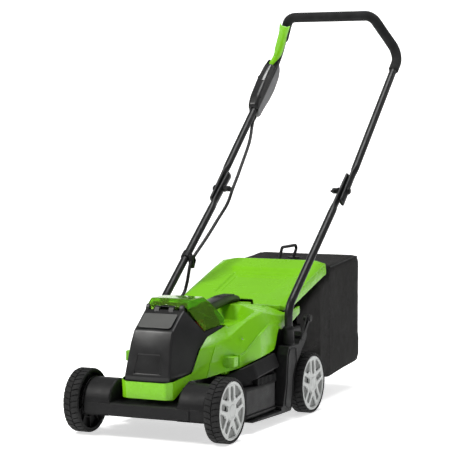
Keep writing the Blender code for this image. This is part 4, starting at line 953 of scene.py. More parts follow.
CABLE_LOWER = [
    (-0.020, 0.215, 0.247), (-0.045, 0.245, 0.2545), (-0.078, 0.285, 0.268), (-0.112, 0.325, 0.2755),
    (-0.1430, 0.360, 0.2695), (-0.1555, 0.393, 0.267), (-0.1555, 0.428, 0.270), (-0.1560, 0.460, 0.285),
    (-0.1560, 0.476, 0.308), (-0.1555, 0.485, 0.332), (-0.1550, 0.4925, 0.353), (-0.1550, 0.510, 0.371),
    (-0.1545, 0.545, 0.393), (-0.1545, 0.597, 0.424), (-0.1515, 0.648, 0.462), (-0.1430, 0.690, 0.503),
    (-0.140, 0.7175, 0.542),
]
CABLE_UPPER = [
    (0.050, -0.0030, -0.1445), (0.100, -0.0060, -0.1500), (0.150, -0.0100, -0.1560),
    (0.195, -0.0145, -0.1630), (0.232, -0.0170, -0.1710), (0.262, -0.0185, -0.1790),
    (0.290, -0.0190, -0.1845), (0.312, -0.0190, -0.1860), (0.330, -0.0190, -0.1860),
]


def power_cable():
    """One cable from the motor to the switch box; it bends at the fold of the handle."""
    knots = [Vector(k) for k in CABLE_LOWER] + [box_point(*k) for k in CABLE_UPPER]
    mesh = tube(smooth_path(knots, 10), CABLE_RADIUS, 14)
    made = piece("power_cable", mesh, "cable", None, "power_cable_lower", "power_cable_upper", smooth=70)
    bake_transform(made)


# ---------------------------------------------------------------- deck and chassis

def deck():
    """The black deck, its vents, and the beads round the front arches and bar."""
    refined("deck_housing", "black", 0.0060, "deck_moulding", segments=3)

    def vents(word, side):
        """Upright fins in the recess under the sloping band, and a bead along the foot of the skirt."""
        parts = []
        low, high = span(side, 0.1570, 0.1705)
        for i in range(14):
            y = 0.200 + 0.0078 * i
            parts.append(box((low, y, 0.10), (high, y + 0.0034, 0.12)))
        low, high = span(side, 0.1745, 0.1768)
        parts.append(box((low, 0.1280, 0.0360), (high, 0.2860, 0.0410)))
        piece(f"deck_vents_{word}", joined(parts), "black", "root", soften=0.0005, segments=1)

    both_sides(vents)
    rim = circle(0.0570, 40, (0, WHEEL_RADIUS), math.pi, -math.pi, ends=True)
    inner = circle(0.0545, 40, (0, WHEEL_RADIUS), math.pi, -math.pi, ends=True)
    arches = pair(rim + inner[::-1], 0.1560, 0.1582)
    bar = [
        (-0.0585, 0.0545), (-0.0590, 0.0560), (-0.0590, 0.0780), (-0.0585, 0.0795), (-0.0560, 0.0795),
        (-0.0560, 0.0545),
    ]
    arches.append(prism(bar, "x", -0.1180, 0.1180))
    plug = [(-0.0592, 0.0), (-0.0592, 0.0030), (-0.0584, 0.0040), (-0.0570, 0.0040), (-0.0570, 0.0)]
    for x in (-0.1095, 0.1095):
        arches.append(turned(plug, "y", (x, 0.067), 24))
    piece("deck_trim", joined(arches), "black", "root", soften=0.0006)


def rails():
    """The side brackets with a raised rim, and the sleeves that hold the lower tubes."""
    def rail(word, side):
        low, high = span(side, 0.1868, 0.1886)
        rim = [
            (0.346, 0.0285), (0.356, 0.0285), (0.362, 0.036), (0.371, 0.106), (0.390, 0.139),
            (0.386, 0.172), (0.350, 0.172), (0.341, 0.158), (0.333, 0.086), (0.322, 0.040),
        ]
        extra = [strip(a, b, 0.0018, low, high) for a, b in zip(rim, rim[1:] + rim[:1])]
        refined(f"side_rail_{word}", "black", 0.0014, f"side_bracket_{word}", extra=extra)
        x = side * LOWER_TUBE_X
        collar = [
            (0.1804, 0.0107), (0.1804, 0.0146), (0.1815, 0.0150), (0.1860, 0.0150), (0.1872, 0.0142),
            (0.2130, 0.0137), (0.2140, 0.0143), (0.2190, 0.0143), (0.2205, 0.0138), (0.2240, 0.0128),
            (0.2250, 0.0118), (0.2250, 0.0107),
        ]
        piece(f"tube_collar_{word}", turned(collar, "z", (x, POST_Y), 40), "black", "root",
              f"socket_collar_{word}")

    both_sides(rail)


def strip(a, b, width, low, high):
    """A thin straight rib from a to b, as points across the X axis."""
    a, b = Vector((*a, 0)), Vector((*b, 0))
    along = (b - a).normalized() * (width / 2)
    aside = Vector((-along.y, along.x, 0))
    ends = [a - along + aside, b + along + aside, b + along - aside, a - along - aside]
    return prism([(p.x, p.y) for p in ends], "x", low, high)


def cover_and_plate():
    """The blank plate of the motor cover, its hinge ears and the wedges between them."""
    slope = math.atan2(0.030, 0.040)
    seat = Matrix.Translation((0, 0.019, 0.2660)) @ Matrix.Rotation(slope, 4, "X")
    half, low, high, turn = 0.0425, -0.0245, 0.0225, 0.008
    outline = [(half, high - 0.002), (half - 0.002, high), (-half + 0.002, high), (-half, high - 0.002)]
    outline += circle(turn, 6, (-half + turn, low + turn), math.pi, math.pi / 2, ends=True)
    outline += circle(turn, 6, (half - turn, low + turn), -math.pi / 2, math.pi / 2, ends=True)
    plate = prism(outline, "z", 0.0011, 0.0034)
    piece("blank_plate", moved(plate, seat), "grey", "root", "label_plate", soften=0.0008)

    ear = [
        (0.0460, 0.2800), (0.0600, 0.2800), (0.0618, 0.2960), (0.0600, 0.2998), (0.0570, 0.3012),
        (0.0535, 0.3000), (0.0500, 0.2950),
    ]
    wedge = [(0.0440, 0.2800), (0.0560, 0.2800), (0.0560, 0.2955), (0.0505, 0.2955)]
    parts = pair(ear, 0.0395, 0.0480) + pair(wedge, 0.0120, 0.0250)
    piece("cover_details", joined(parts), "satin_black", "root", soften=0.0008)


def shroud_details():
    """The lug with its two plates and pillar, the rounded ridges, and the screws."""
    lugs = (
        # inner and outer x, foot, head, front and rear y
        (0.1040, 0.1430, 0.1530, 0.1780, 0.1250, 0.1500),
        (0.1250, 0.1380, 0.1550, 0.1750, 0.1480, 0.1600),
        (0.1220, 0.1445, 0.1510, 0.1800, 0.1560, 0.1600),
        (0.1060, 0.1210, 0.1350, 0.1550, 0.1280, 0.1480),
    )
    parts = []
    for side in (1, -1):
        for low, high, foot, head, near, far in lugs:
            a, b = span(side, low, high)
            parts.append(box((a, near, foot), (b, far, head)))
    piece("shroud_lugs", joined(parts), "green", "root", soften=0.0022, segments=3)
    beads = []
    for names, radius in (("d6 d65 d75 d8", 0.0030), ("k5 k4 b4", 0.0015)):
        for side in (1, -1):
            line = [Vector((side * SHROUD_POINTS[n][0], *SHROUD_POINTS[n][1:])) for n in names.split()]
            beads.append(tube(divided(line, 0.008), radius, 12))
    piece("shroud_ridges", joined(beads), "green", "root", smooth=60)
    r = SCREW_RADIUS
    seat = [
        (0.0, r * 0.45), (0.0006, r * 0.9), (0.0012, r), (0.0012, r * 1.25), (0.0, r * 1.35),
        (-0.001, r * 1.3), (-0.001, r * 0.45),
    ]
    head = [
        (-0.0005, 0.0), (-0.0005, 0.0024), (0.0002, 0.0022), (0.0004, 0.0012), (0.0001, 0.0011),
        (0.0001, 0.0),
    ]
    spots = (0.0990, 0.3880, 0.2700, (0.03, -0.02, 1)), (0.1390, 0.1800, 0.2140, (0.72, -0.35, 0.60))
    rings, heads = [], []
    for x, y, z, normal in spots:
        for side in (1, -1):
            facing = Vector((side * normal[0], normal[1], normal[2])).normalized()
            rings.append(aimed(turned(seat, "z", (0, 0), 20), (side * x, y, z), facing))
            heads.append(aimed(turned(head, "z", (0, 0), 6), (side * x, y, z), facing))
    piece("shroud_screw_seats", joined(rings), "green", "root")
    piece("shroud_screws", joined(heads), "steel", "root")


def carry_bar():
    """The ribbed bar over the pocket, lofted along its length."""
    stations = [
        # y, underside, top
        (0.2370, 0.2380, 0.2560), (0.2400, 0.2380, 0.2640), (0.2440, 0.2380, 0.2790),
        (0.2540, 0.2382, 0.2822), (0.2660, 0.2540, 0.2842), (0.2900, 0.2640, 0.2880),
        (0.3300, 0.2690, 0.2916), (0.3500, 0.2720, 0.2930), (0.3740, 0.2752, 0.2932),
        (0.4120, 0.2752, 0.2914), (0.4240, 0.2752, 0.2880), (0.4290, 0.2752, 0.2830),
        (0.4310, 0.2752, 0.2775),
    ]
    rings = []
    for y, low, high in stations:
        half, soft = 0.0170, min(0.0035, 0.3 * (high - low))
        ring = [(half, low + soft), (half, high - soft)]
        ring += [(half - 0.3 * soft, high - 0.3 * soft), (half - soft, high)]
        ring += [(-x, z) for x, z in reversed(ring)]
        ring += [(-half + soft, low), (half - soft, low)]
        rings.append([(x, y, z) for x, z in ring])
    parts = [loft(rings)]
    for i in range(17):
        y = 0.2590 + 0.0086 * i
        top = 0.2826 + (0.2935 - 0.2826) * min(1.0, (y - 0.2590) / 0.09)
        rib = [(0, -0.004), (0.0048, -0.004), (0.0048, 0.0003), (0.0036, 0.0013), (0.0012, 0.0013)]
        rib.append((0, 0.0003))
        parts.append(prism([(y + a, top + b) for a, b in rib], "x", -0.0145, 0.0145))
    piece("carry_bar", joined(parts), "satin_black", "root", "carry_handle", smooth=40)


# ---------------------------------------------------------------- inside: motor, blade, axles, bay

def drive():
    """The motor, its shaft and the blade under it."""
    can = [
        (0.0940, 0.0420), (0.0955, 0.0440), (0.1180, 0.0440), (0.1190, 0.0430), (0.1210, 0.0430),
        (0.1220, 0.0440), (0.1800, 0.0440), (0.1850, 0.0425), (0.1862, 0.0400), (0.1865, 0.0310),
        (0.1880, 0.0300), (0.1955, 0.0300), (0.1968, 0.0285),
    ]
    piece("motor_body", drum(can, (0, MOTOR_Y), 64, "z"), "steel", "root", "motor_can", smooth=32)
    for node, finish, soften in (("motor_shaft", "steel", 0.0004), ("blade_adapter", "grey", 0.0005),
                                 ("blade", "steel", 0.0006), ("blade_bolt", "steel", 0.0006)):
        refined(node, finish, soften)


def axles():
    """The cranked axles, the rod that joins them, and the lever that sets the height."""
    for end, y in (("front", 0.0), ("rear", WHEELBASE)):
        pivot = y + CRANK
        parts = [rod_x((pivot, WHEEL_RADIUS), 0.0050, -0.1660, 0.1660)]
        for side in (1, -1):
            web = circle(0.009, 24, (pivot, WHEEL_RADIUS), -math.pi / 2, math.pi, ends=True)
            web += circle(0.009, 24, (y, WHEEL_RADIUS), math.pi / 2, math.pi, ends=True)
            parts.append(prism(web, "x", *span(side, 0.1625, 0.1665)))
            parts.append(rod_x((y, WHEEL_RADIUS), 0.0050, *span(side, 0.1640, 0.1915)))
            parts.append(rod_x((y, WHEEL_RADIUS), 0.0090, *span(side, 0.1665, 0.1680)))
        arm = circle(0.008, 20, (pivot, WHEEL_RADIUS), math.pi, math.pi, ends=True)
        arm += circle(0.0045, 16, (pivot, WHEEL_RADIUS + 0.028), 0, math.pi, ends=True)
        parts.append(prism(arm, "x", -0.1380, -0.1352))
        parts.append(rod_x((pivot, WHEEL_RADIUS + 0.028), 0.0020, -0.1450, -0.1350))
        piece(f"{end}_axle_forged", joined(parts), "steel", f"{end}_axle", f"{end}_axle", soften=0.0005)
    refined("link_rod", "steel", 0.0006)
    refined("height_lever", "black", 0.0012)


def rod_x(centre, radius, low, high):
    return prism(circle(radius, 28, centre), "x", low, high)


def battery_bay():
    """Under the clear lid: tray, contacts, board, hinge pin, and a dark collar round them."""
    rails_inside = []
    for side in (1, -1):
        low, high = span(side, 0.0415, 0.0446)
        for y in (0.098, 0.136):
            rails_inside.append(box((low, y, 0.180), (high, y + 0.003, 0.280)))
    refined("battery_tray", "black", 0.0010, extra=rails_inside)
    refined("contact_block", "grey", 0.0006)
    back = [
        (-0.088, 0.225), (0.088, 0.225), (0.088, 0.256), (0.066, 0.287), (-0.066, 0.287), (-0.088, 0.256),
    ]
    collar = [prism(back, "y", 0.1600, 0.1640), box((-0.0440, 0.0800, 0.2700), (0.0440, 0.0830, 0.3040))]
    cheek = [(0.070, 0.225), (0.070, 0.284), (0.140, 0.290), (0.158, 0.284), (0.172, 0.255), (0.172, 0.225)]
    collar += pair(cheek, 0.0465, 0.0490)
    piece("bay_collar", joined(collar), "black", "root", soften=0.0006)
    board = 0.1515
    chips = [
        box((-0.030, 0.036, board), (-0.012, 0.050, 0.1560)),
        box((-0.004, 0.040, board), (0.010, 0.052, 0.1535)),
        box((0.016, 0.038, board), (0.030, 0.046, 0.1590)),
        box((-0.020, 0.062, board), (0.014, 0.070, 0.1545)),
    ]
    refined("controller_board", "board", 0.0002, extra=chips)
    piece("lid_hinge_pin_turned", rod_x(LID_AXIS, 0.0015, -0.0465, 0.0465), "dark_steel", "root",
          "lid_hinge_pin", soften=0.0003)


def lid_and_key():
    """The lid's knuckles, its ribs and the red key at the side of the bay."""
    leaf = [(0.0560, 0.2995), (0.0575, 0.2978), (0.0640, 0.2992), (0.0648, 0.3036), (0.0610, 0.3022)]
    knuckle = circle(0.0036, 24, LID_AXIS)
    parts = pair(knuckle, 0.0260, 0.0390) + pair(leaf, 0.0260, 0.0390)
    piece("lid_knuckles", joined(parts), "clear_green", "lid", soften=0.0004)
    ribs = []
    for side in (1, -1):
        front, rear = Vector((side * 0.0525, 0.0640, 0.2965)), Vector((side * 0.0945, 0.1740, 0.2495))
        ribs.append(tube([front, front.lerp(rear, 0.5), rear], 0.0011, 10))
    for y in (0.0880, 0.1400):
        ribs.append(box((-0.0300, y, 0.3050), (0.0300, y + 0.0030, 0.3112)))
    piece("lid_ribs", joined(ribs), "clear_green", "lid", soften=0.0004)
    ridges = [0.1030 + 0.0060 * i for i in range(4)]
    grip = [box((0.0496, y, 0.2360), (0.0694, y + 0.0028, 0.2500)) for y in ridges]
    grip.append(box((0.0560, 0.0970, 0.2450), (0.0620, 0.1310, 0.2620)))
    refined("safety_key", "red", 0.0010, extra=grip)


# ---------------------------------------------------------------- flap, springs and cable clip

def flap_details():
    """The flap's knuckles, rod and springs, and the clip that holds the cable."""
    leaf = [(0.4075, 0.2580), (0.4165, 0.2580), (0.4185, 0.2745), (0.4055, 0.2745)]
    knuckle = circle(0.0065, 28, FLAP_AXIS)
    parts = pair(knuckle, 0.100, 0.112) + pair(leaf, 0.100, 0.112)
    piece("flap_knuckles", joined(parts), "green", "flap", soften=0.0006)
    piece("flap_rod", rod_x(FLAP_AXIS, 0.0030, -0.1520, 0.1520), "dark_steel", "root", "flap_hinge_rod",
          soften=0.0006)

    def spring(word, side):
        turns, steps, coil = 3, 72, 0.0052
        points = []
        for i in range(steps + 1):
            angle = 2 * math.pi * turns * i / steps
            x = side * (0.070 + 0.014 * i / steps)
            y, z = FLAP_AXIS[0] + coil * math.cos(angle), FLAP_AXIS[1] + coil * math.sin(angle)
            points.append((x, y, z))
        piece(f"torsion_spring_{word}", tube(points, 0.0009, 8), "dark_steel", "root", f"flap_spring_{word}")

    both_sides(spring)
    refined("cable_clip", "black", 0.0008)


# ---------------------------------------------------------------- handle parts

def box_prism(outline, low, high):
    return prism([tuple(box_point(a, b))[1:] for a, b in outline], "x", low, high)


BOX_LOW_X, BOX_HIGH_X = -0.2005, -0.1710
BOX_MIDDLE_X = (BOX_LOW_X + BOX_HIGH_X) / 2
BUTTON_CENTRE = box_point(0.430, 0.0190)


def box_half(name, node, finish, outline, tucks, slot=None):
    """One half of the switch box: an outline through it, drawn in towards its two faces by the tucks."""
    rings = []
    centre_along = sum(a for a, _ in outline) / len(outline)
    for across, tuck in tucks:
        ring = []
        for along, above in outline:
            height = above if abs(above) < 0.001 else above - math.copysign(tuck, above)
            reach = along + (tuck * 0.9 if along < centre_along else -tuck * 0.9)
            ring.append(box_point(reach, height, BOX_MIDDLE_X + across))
        rings.append(ring)
    blank = as_object("box_blank", loft(rings))
    hole = as_object("box_hole", tube(divided(upper_path(), 0.02), 0.0107, 24))
    mesh = cut_shape(blank, hole)
    if slot:
        mesh = cut_shape(as_object("box_blank", mesh), as_object("box_slot", slot))
    piece(name, mesh, finish, "handle", node, soften=0.0009)


def switch():
    """The switch box round the left tube: a black half over it, a grey half under it."""
    over = smooth_outline([
        (0.318, 0.0003), (0.311, 0.0080), (0.320, 0.0190), (0.345, 0.0270), (0.400, 0.0310),
        (0.470, 0.0290), (0.510, 0.0215), (0.517, 0.0120), (0.513, 0.0003),
    ])
    under = smooth_outline([
        (0.513, -0.0002), (0.508, -0.0180), (0.488, -0.0300), (0.440, -0.0370), (0.395, -0.0345),
        (0.335, -0.0265), (0.313, -0.0260), (0.307, -0.0190), (0.309, -0.0080), (0.318, -0.0002),
    ])
    half = (BOX_HIGH_X - BOX_LOW_X) / 2
    tucks = [(-half, 0.0060), (-half * 0.93, 0.0030), (-half * 0.78, 0.0010), (-half * 0.5, 0.0)]
    tucks += [(-across, tuck) for across, tuck in reversed(tucks)]
    corners = [(0.4780, 0.0118), (0.4780, 0.0460), (0.5350, 0.0460), (0.5350, 0.0118)]
    notch = box_prism(corners, -0.1970, -0.1600)
    box_half("switch_box_cover", "switch_box", "satin_black", over, tucks, notch)
    box_half("switch_box_back", "switch_box_shell", "grey_gloss", under, tucks)
    refined("micro_switch", "grey", 0.0006)

    # The glossier cap that covers the upper part of the black half.
    crest = (0.4060, 0.0312), (0.4100, 0.0318), (0.4400, 0.0312), (0.4700, 0.0297), (0.4770, 0.0288)
    rings = []
    for along, above in crest:
        width = 0.0108 if along < 0.43 else 0.0100
        section = (
            (-width - 0.0034, 0.0058), (-width - 0.0014, 0.0014), (-width, 0.0), (0.0, -0.0006),
            (width, 0.0), (width + 0.0014, 0.0014), (width + 0.0034, 0.0058), (width, 0.0030),
            (-width, 0.0030),
        )
        rings.append([box_point(along, above - drop, BOX_MIDDLE_X + x) for x, drop in section])
    piece("switch_box_cap", loft(rings), "gloss_black", "handle", smooth=50)

    centre = (BUTTON_CENTRE.y, BUTTON_CENTRE.z)
    cap = [(-0.1925, 0.0056), (-0.2038, 0.0056), (-0.2046, 0.0051), (-0.2050, 0.0040), (-0.2046, 0.0028)]
    piece("lock_button_cap", drum(cap, centre, 40), "grey", "lock_button", "lock_button", smooth=30)
    bezel = [(-0.2002, 0.0062), (-0.2012, 0.0064), (-0.2012, 0.0078), (-0.1990, 0.0084), (-0.1990, 0.0062)]
    parts = [turned(bezel, "x", centre, 40)]
    for along, above in ((0.350, 0.0165), (0.470, 0.0160)):
        spot = tuple(box_point(along, above))[1:]
        for side, face in ((-1, BOX_LOW_X), (1, BOX_HIGH_X)):
            screw = [(0, 0.0014), (0.0004, 0.0016), (0.0006, 0.0024), (-0.0006, 0.0030), (-0.0010, 0.0014)]
            parts.append(turned([(face + side * out, r) for out, r in screw], "x", spot, 20))
    piece("switch_box_trim", joined(parts), "black", "handle", smooth=32)
    relief = []
    for i in range(4):
        start = 0.294 + 0.0036 * i
        relief.append(tube([box_point(start, -0.0190, -0.1853), box_point(start + 0.0020, -0.0190, -0.1855)],
                           0.0048 + 0.0003 * i, 16))
    relief.append(tube([box_point(0.290, -0.0190, -0.1846), box_point(0.303, -0.0190, -0.1856),
                        box_point(0.316, -0.0190, -0.1860)], 0.0042, 16))
    piece("cable_strain_relief", joined(relief), "cable", "handle", smooth=50)


def smooth_outline(corners):
    """An open outline with its corners eased, from first corner to last."""
    points = [Vector((*c, 0)) for c in corners]
    result = [points[0]]
    for before, corner, after in zip(points, points[1:], points[2:]):
        near = min(0.45, 0.005 / (before - corner).length), min(0.45, 0.005 / (after - corner).length)
        first, last = corner.lerp(before, near[0]), corner.lerp(after, near[1])
        result += [first, (first + 2 * corner + last) / 4, last]
    return [(p.x, p.y) for p in [*result, points[-1]]]


LEFT_BEND = Vector((-GRIP_BEND.x, *GRIP_BEND[1:]))
LEFT_CORNER = Vector((-GRIP_CORNER.x, *GRIP_CORNER[1:]))
DIAGONAL = (LEFT_CORNER - LEFT_BEND).normalized()
OUTWARD = Vector((0.20, -0.98, 0.0))
OUTWARD = (OUTWARD - DIAGONAL * OUTWARD.dot(DIAGONAL)).normalized()
BAIL_AXIS = DIAGONAL.cross(OUTWARD)
BAIL_STATIONS = [
    # metres off the diagonal, metres up it, half width, depth
    (0.0340, 0.0200, 0.0100, 0.0090), (0.0310, 0.0400, 0.0125, 0.0110), (0.0290, 0.0700, 0.0130, 0.0110),
    (0.0290, 0.0980, 0.0130, 0.0100), (0.0325, 0.1240, 0.0160, 0.0080),
]


def bail():
    """The green lever: a curved channel before the grip's left diagonal, flared at its top."""
    knots = [box_point(0.488, 0.0185, -0.1860)]
    knots += [LEFT_BEND + OUTWARD * off + DIAGONAL * up for off, up, _, _ in BAIL_STATIONS]
    sections = [(0.0060, 0.0040, 0)] + [(half, deep, 0) for _, _, half, deep in BAIL_STATIONS]
    way, sizes = smooth_path(knots, 8), smooth_path(sections, 8)
    rings = []
    wall, steps = 0.0026, 9
    for i, (point, size) in enumerate(zip(way, sizes)):
        half, deep = size.x, size.y
        flare = 0.006 * ease((i / (len(way) - 1) - 0.86) / 0.14)
        outer, inner = [], []
        for k in range(steps + 1):
            angle = math.pi * k / steps
            across = -math.cos(angle)
            curl = 1 - math.sin(angle) ** 0.75
            spot = point + DIAGONAL * (flare * across * across)
            outer.append(spot + BAIL_AXIS * half * across - OUTWARD * deep * curl)
            slim = half - wall * 0.8
            inner.append(spot + BAIL_AXIS * slim * across - OUTWARD * (wall + (deep - wall) * curl))
        rings.append(outer + inner[::-1])
    piece("bail_channel", loft(rings), "green", "bail", "bail_lever", smooth=60)


def pivots():
    """The bolt, washer and wing knob at each side of the fold."""
    centre = (FOLD.y, FOLD.z)

    def pivot(word, side):
        bolt = [rod_x(centre, 0.0031, *span(side, 0.1520, 0.1945))]
        bolt.append(prism(circle(0.0070, 6, centre), "x", *span(side, 0.1945, 0.1972)))
        washer = [(0.1922, 0.0032), (0.1922, 0.0095), (0.1932, 0.0098), (0.1944, 0.0092), (0.1944, 0.0032)]
        bolt.append(turned([(side * x, r) for x, r in washer], "x", centre, 36))
        piece(f"pivot_bolt_set_{word}", joined(bolt), "powder_coat", "root", f"pivot_bolt_{word}",
              soften=0.0004)
        knob = [
            (0.1475, 0.0), (0.1472, 0.0050), (0.1480, 0.0068), (0.1495, 0.0076), (0.1600, 0.0076),
            (0.1612, 0.0070), (0.1618, 0.0090), (0.1640, 0.0092), (0.1652, 0.0086), (0.1655, 0.0036),
            (0.1560, 0.0036), (0.1560, 0.0),
        ]
        parts = [turned([(side * x, max(r, 0.0001)) for x, r in knob], "x", centre, 36)]
        # distance out along the wing, half height, and its inner and outer face there
        wing = (
            (0.003, 0.0042, 0.1490, 0.1605), (0.008, 0.0036, 0.1488, 0.1602),
            (0.013, 0.0031, 0.1478, 0.1592), (0.0165, 0.0022, 0.1482, 0.1584),
            (0.0175, 0.0008, 0.1492, 0.1574),
        )
        for turn in (1, -1):
            rings = []
            for reach, high, near, far in wing:
                middle = centre[1] + turn * 0.0006 * reach / 0.017
                corners = [(near, high), (far, high), (far, -high), (near, -high)]
                rings.append([(side * x, centre[0] + turn * reach, middle + b) for x, b in corners])
            parts.append(loft(rings))
        piece(f"wing_knob_body_{word}", joined(parts), "black", f"knob_{word}", f"wing_knob_{word}",
              soften=0.0010)

    both_sides(pivot)


# ---------------------------------------------------------------- grass bag

BAG_CORNER = 0.014
BAG_WALL = 0.0022
BAG_POINTS = 132
REAR_SEAM = 0.9240
# The cloth is slack between these.
LOOSE_FROM, LOOSE_TO = 0.62, 0.93
BAG_STATIONS = [
    # y, half width below and above the rear axle, bottom, top
    (0.5000, 0.1290, 0.1420, 0.112, 0.2420), (0.5440, 0.1290, 0.1500, 0.106, 0.2680),
    (0.6200, 0.1550, 0.1550, 0.064, 0.3040), (0.6800, 0.1525, 0.1525, 0.055, 0.3230),
    (0.7000, 0.1520, 0.1520, 0.054, 0.3480), (0.9000, 0.1450, 0.1440, 0.070, 0.3620),
    (0.9180, 0.1435, 0.1415, 0.073, 0.3600), (0.9270, 0.1390, 0.1370, 0.080, 0.3530),
    (0.9300, 0.1300, 0.1290, 0.090, 0.3440),
]


def bag_at(y):
    """The bag's section at y: foot, half width, bottom and top, straight between stations."""
    for one, other in zip(BAG_STATIONS, BAG_STATIONS[1:]):
        if y <= other[0]:
            part = (y - one[0]) / (other[0] - one[0])
            return [a + (b - a) * part for a, b in zip(one[1:], other[1:])]
    return list(BAG_STATIONS[-1][1:])


def ring_of(values, inset=0.0):
    """The bag's outline as a closed list of (x, z) with rounded corners."""
    soft = BAG_CORNER
    foot, half, low, high = values
    foot, half, low, high = foot - inset, half - inset, low + inset, high - inset
    right = [(0.0, low), (foot - soft, low)]
    right += circle(soft, 5, (foot - soft, low + soft), -math.pi / 2, math.pi / 2, ends=True)
    right += [(foot, min(0.137, high - 3 * soft)), (half, min(0.150, high - 2.5 * soft))]
    right += circle(soft, 5, (half - soft, high - soft), 0, math.pi / 2, ends=True)
    right.append((0.0, high))
    return right + [(-x, z) for x, z in reversed(right[1:-1])]


def resampled(outline, count):
    """A closed outline as this many points, evenly spaced round it."""
    points = [Vector((*p, 0)) for p in outline] + [Vector((*outline[0], 0))]
    along = lengths(points)
    result, k = [], 0
    for i in range(count):
        want = along[-1] * i / count
        while along[k + 1] < want:
            k += 1
        part = (want - along[k]) / max(1e-9, along[k + 1] - along[k])
        result.append(points[k].lerp(points[k + 1], part))
    return result


def sag(point):
    """How far the cloth sinks at a point: broad slack between the seams and small creases near them."""
    y = point.y
    slack = math.sin(math.pi * min(1.0, max(0.0, (y - LOOSE_FROM) / (LOOSE_TO - LOOSE_FROM))))
    broad = 0.5 + 0.5 * noise.noise(Vector((point.x * 7, y * 8, point.z * 10)))
    crease = noise.noise(Vector((point.x * 16 + 3, y * 22 + point.z * 14, point.z * 30 - y * 9)))
    return slack * (0.0012 + 0.0030 * broad) + 0.0009 * max(0.0, crease) + 0.0004


def settled(spot):
    """A point of the taut bag, moved inward by the sag there."""
    values = bag_at(spot.y)
    inward = Vector((-spot.x, 0, (values[2] + values[3]) / 2 - spot.z)).normalized()
    return spot + inward * sag(spot)


def bag():
    """The cloth bag: an outer and an inner skin, joined round the mouth and closed at the rear."""
    levels = []
    for one, other in zip(BAG_STATIONS, BAG_STATIONS[1:]):
        steps = max(1, round((other[0] - one[0]) / 0.006))
        levels += [one[0] + (other[0] - one[0]) * i / steps for i in range(steps)]
    levels.append(BAG_STATIONS[-1][0])
    mesh = bmesh.new()
    walls = []
    for wall in (0.0, BAG_WALL):
        rows = []
        for y in (levels if wall == 0.0 else levels[::-1]):
            back = min(y, BAG_STATIONS[-1][0] - wall)
            outline = resampled(ring_of(bag_at(y), wall), BAG_POINTS)
            rows.append([mesh.verts.new(settled(Vector((p.x, back, p.y)))) for p in outline])
        for one, other in zip(rows, rows[1:]):
            band(mesh, one, other)
        walls.append(rows)
    outside, inside = walls
    band(mesh, outside[0], inside[-1])
    rear_panel(mesh, outside[-1])
    rear_panel(mesh, inside[0])
    piece("bag_body", face_out(mesh), "fabric", "bag", "grass_bag", smooth=55)


def rear_panel(mesh, rim):
    """The bag's closed rear end: rings that step in to the middle, bulging a little."""
    centre = sum((v.co for v in rim), Vector()) / len(rim)
    rings = [rim]
    for share in (0.93, 0.80, 0.62, 0.42, 0.20):
        bulge = Vector((0, 0.0022 * (1 - share) - 0.0010, 0))
        rings.append([mesh.verts.new(centre + (v.co - centre) * share + bulge) for v in rim])
    for one, other in zip(rings, rings[1:]):
        band(mesh, one, other)
    mesh.faces.new(rings[-1])


def bag_loop(y, inset, count):
    """Points round the bag at y, on the settled cloth."""
    return [settled(Vector((p.x, y, p.y))) for p in resampled(ring_of(bag_at(y), inset), count)]


def bag_seams():
    """Piping round the rear, along the edges of the top, and a stitched hem at the mouth."""
    cords = []
    # Each edge: where its cord starts, which of bag_at's values is its height, and its shift up from there.
    edges = (0.7005, 3, -0.0030), (0.6200, 2, 0.0034)
    for side in (1, -1):
        for start, level, pull in edges:
            steps = round((REAR_SEAM - start) / 0.0045)
            edge = []
            for i in range(steps + 1):
                y = start + (REAR_SEAM - start) * i / steps
                values = bag_at(y)
                half = values[1] if level == 3 else values[0]
                edge.append(settled(Vector((side * (half - abs(pull)), y, values[level] + pull))))
            cords.append(tube(edge, 0.0016, 8))
    for y, radius in ((0.6965, 0.0008), (0.9225, 0.0016)):
        outline = bag_loop(y, 0.0002, BAG_POINTS)
        cords.append(tube(outline + [outline[0]], radius, 8))
    piece("bag_piping", joined(cords), "binding", "bag", smooth=60)
    stitches = []
    for y in (0.6915, 0.9150):
        outline = bag_loop(y, 0.0001, 170)
        stitches += [tube([outline[i], outline[i + 1]], 0.0004, 5) for i in range(0, 168, 2)]
    piece("bag_stitches", joined(stitches), "thread", "bag")


def bag_fittings():
    """The wire handle on the bag, with a foot at each end, and the frame inside the mouth."""
    loop = [(0, 0.7050, 0.3523), (0, 0.7280, 0.3890), (0, 0.8320, 0.3890), (0, 0.8050, 0.3593)]
    loop = rounded_path(loop, [0.010, 0.008], 10)
    foot = []
    for spot in (loop[0], loop[-1]):
        y, z = spot.y, spot.z
        foot.append(box((-0.0125, y - 0.011, z - 0.0042), (0.0125, y + 0.011, z - 0.0012)))
    grip = tube(divided(loop, 0.004), 0.0040, 16)
    piece("bag_wire_handle", joined([grip, *foot]), "black", "bag", "bag_handle", smooth=40)
    refined("bag_frame", "black", 0.0010)


# ---------------------------------------------------------------- floor, light and ending

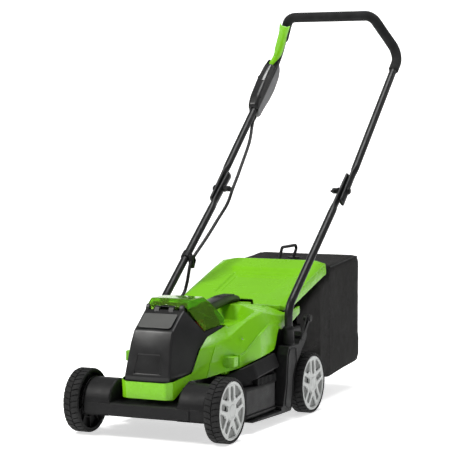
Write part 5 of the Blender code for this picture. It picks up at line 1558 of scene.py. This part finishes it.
def studio():
    """White paper and four soft lamps."""
    scene = bpy.context.scene
    world = bpy.data.worlds.new("studio")
    scene.world = world
    world.use_nodes = True
    world.node_tree.nodes["Background"].inputs["Color"].default_value = (1, 1, 1, 1)
    world.node_tree.nodes["Background"].inputs["Strength"].default_value = 0.20
    scene.view_settings.view_transform = "Standard"

    # A floor that turns up into a narrower wall at the rear.
    mesh = bmesh.new()
    front, rear, cove, top = -6.0, 2.4, 1.2, 1.6
    left, floor_right, wall_right = -9.0, 9.0, 0.5
    rows = [(front, 0.0, floor_right), (rear, 0.0, floor_right)]
    for step in range(1, 9):
        turn = step * math.pi / 16
        rows.append((rear + cove * math.sin(turn), cove - cove * math.cos(turn), wall_right))
    rows.append((rear + cove, top, wall_right))
    lines = [[mesh.verts.new((x, y, z)) for x in (left, right)] for y, z, right in rows]
    for one, other in zip(lines, lines[1:]):
        mesh.faces.new((one[0], one[1], other[1], other[0]))
    floor = as_object("backdrop", mesh)
    floor.data.shade_smooth()
    paper = Finish("studio_paper", (0.93, 0.93, 0.93), 0.75)
    paper.vary(0.01, 2)
    paper.shader.inputs["Emission Color"].default_value = (1, 1, 1, 1)
    paper.shader.inputs["Emission Strength"].default_value = 0.62
    floor.data.materials.append(paper.material)
    for name, place, aim, diameter, watts, colour in (
        ("key", (-1.9, -2.4, 2.9), (0, 0, 0.3), 1.1, 92, (1.0, 0.99, 0.97)),
        ("fill", (3.2, -2.0, 1.7), (0, 0, 0.35), 1.2, 5, (0.97, 0.985, 1.0)),
        ("top", (0.2, 0.3, 3.4), (0, 0, 0.2), 1.6, 62, (1.0, 1.0, 1.0)),
        ("rim", (1.6, 2.6, 2.2), (0, 0.1, 0.5), 1.0, 10, (1.0, 1.0, 1.0)),
    ):
        light = bpy.data.lights.new(name, "AREA")
        light.shape = "DISK"
        light.size = diameter
        light.energy = watts
        light.color = colour
        lamp = bpy.data.objects.new(name, light)
        scene.collection.objects.link(lamp)
        lamp.location = place
        lamp.rotation_euler = (Vector(aim) - Vector(place)).to_track_quat("-Z", "Y").to_euler()


shells()
wheels()
deck()
rails()
cover_and_plate()
shroud_details()
carry_bar()
drive()
axles()
battery_bay()
lid_and_key()
flap_details()
tubes()
foam_grip()
power_cable()
switch()
bail()
pivots()
bag()
bag_seams()
bag_fittings()
studio()
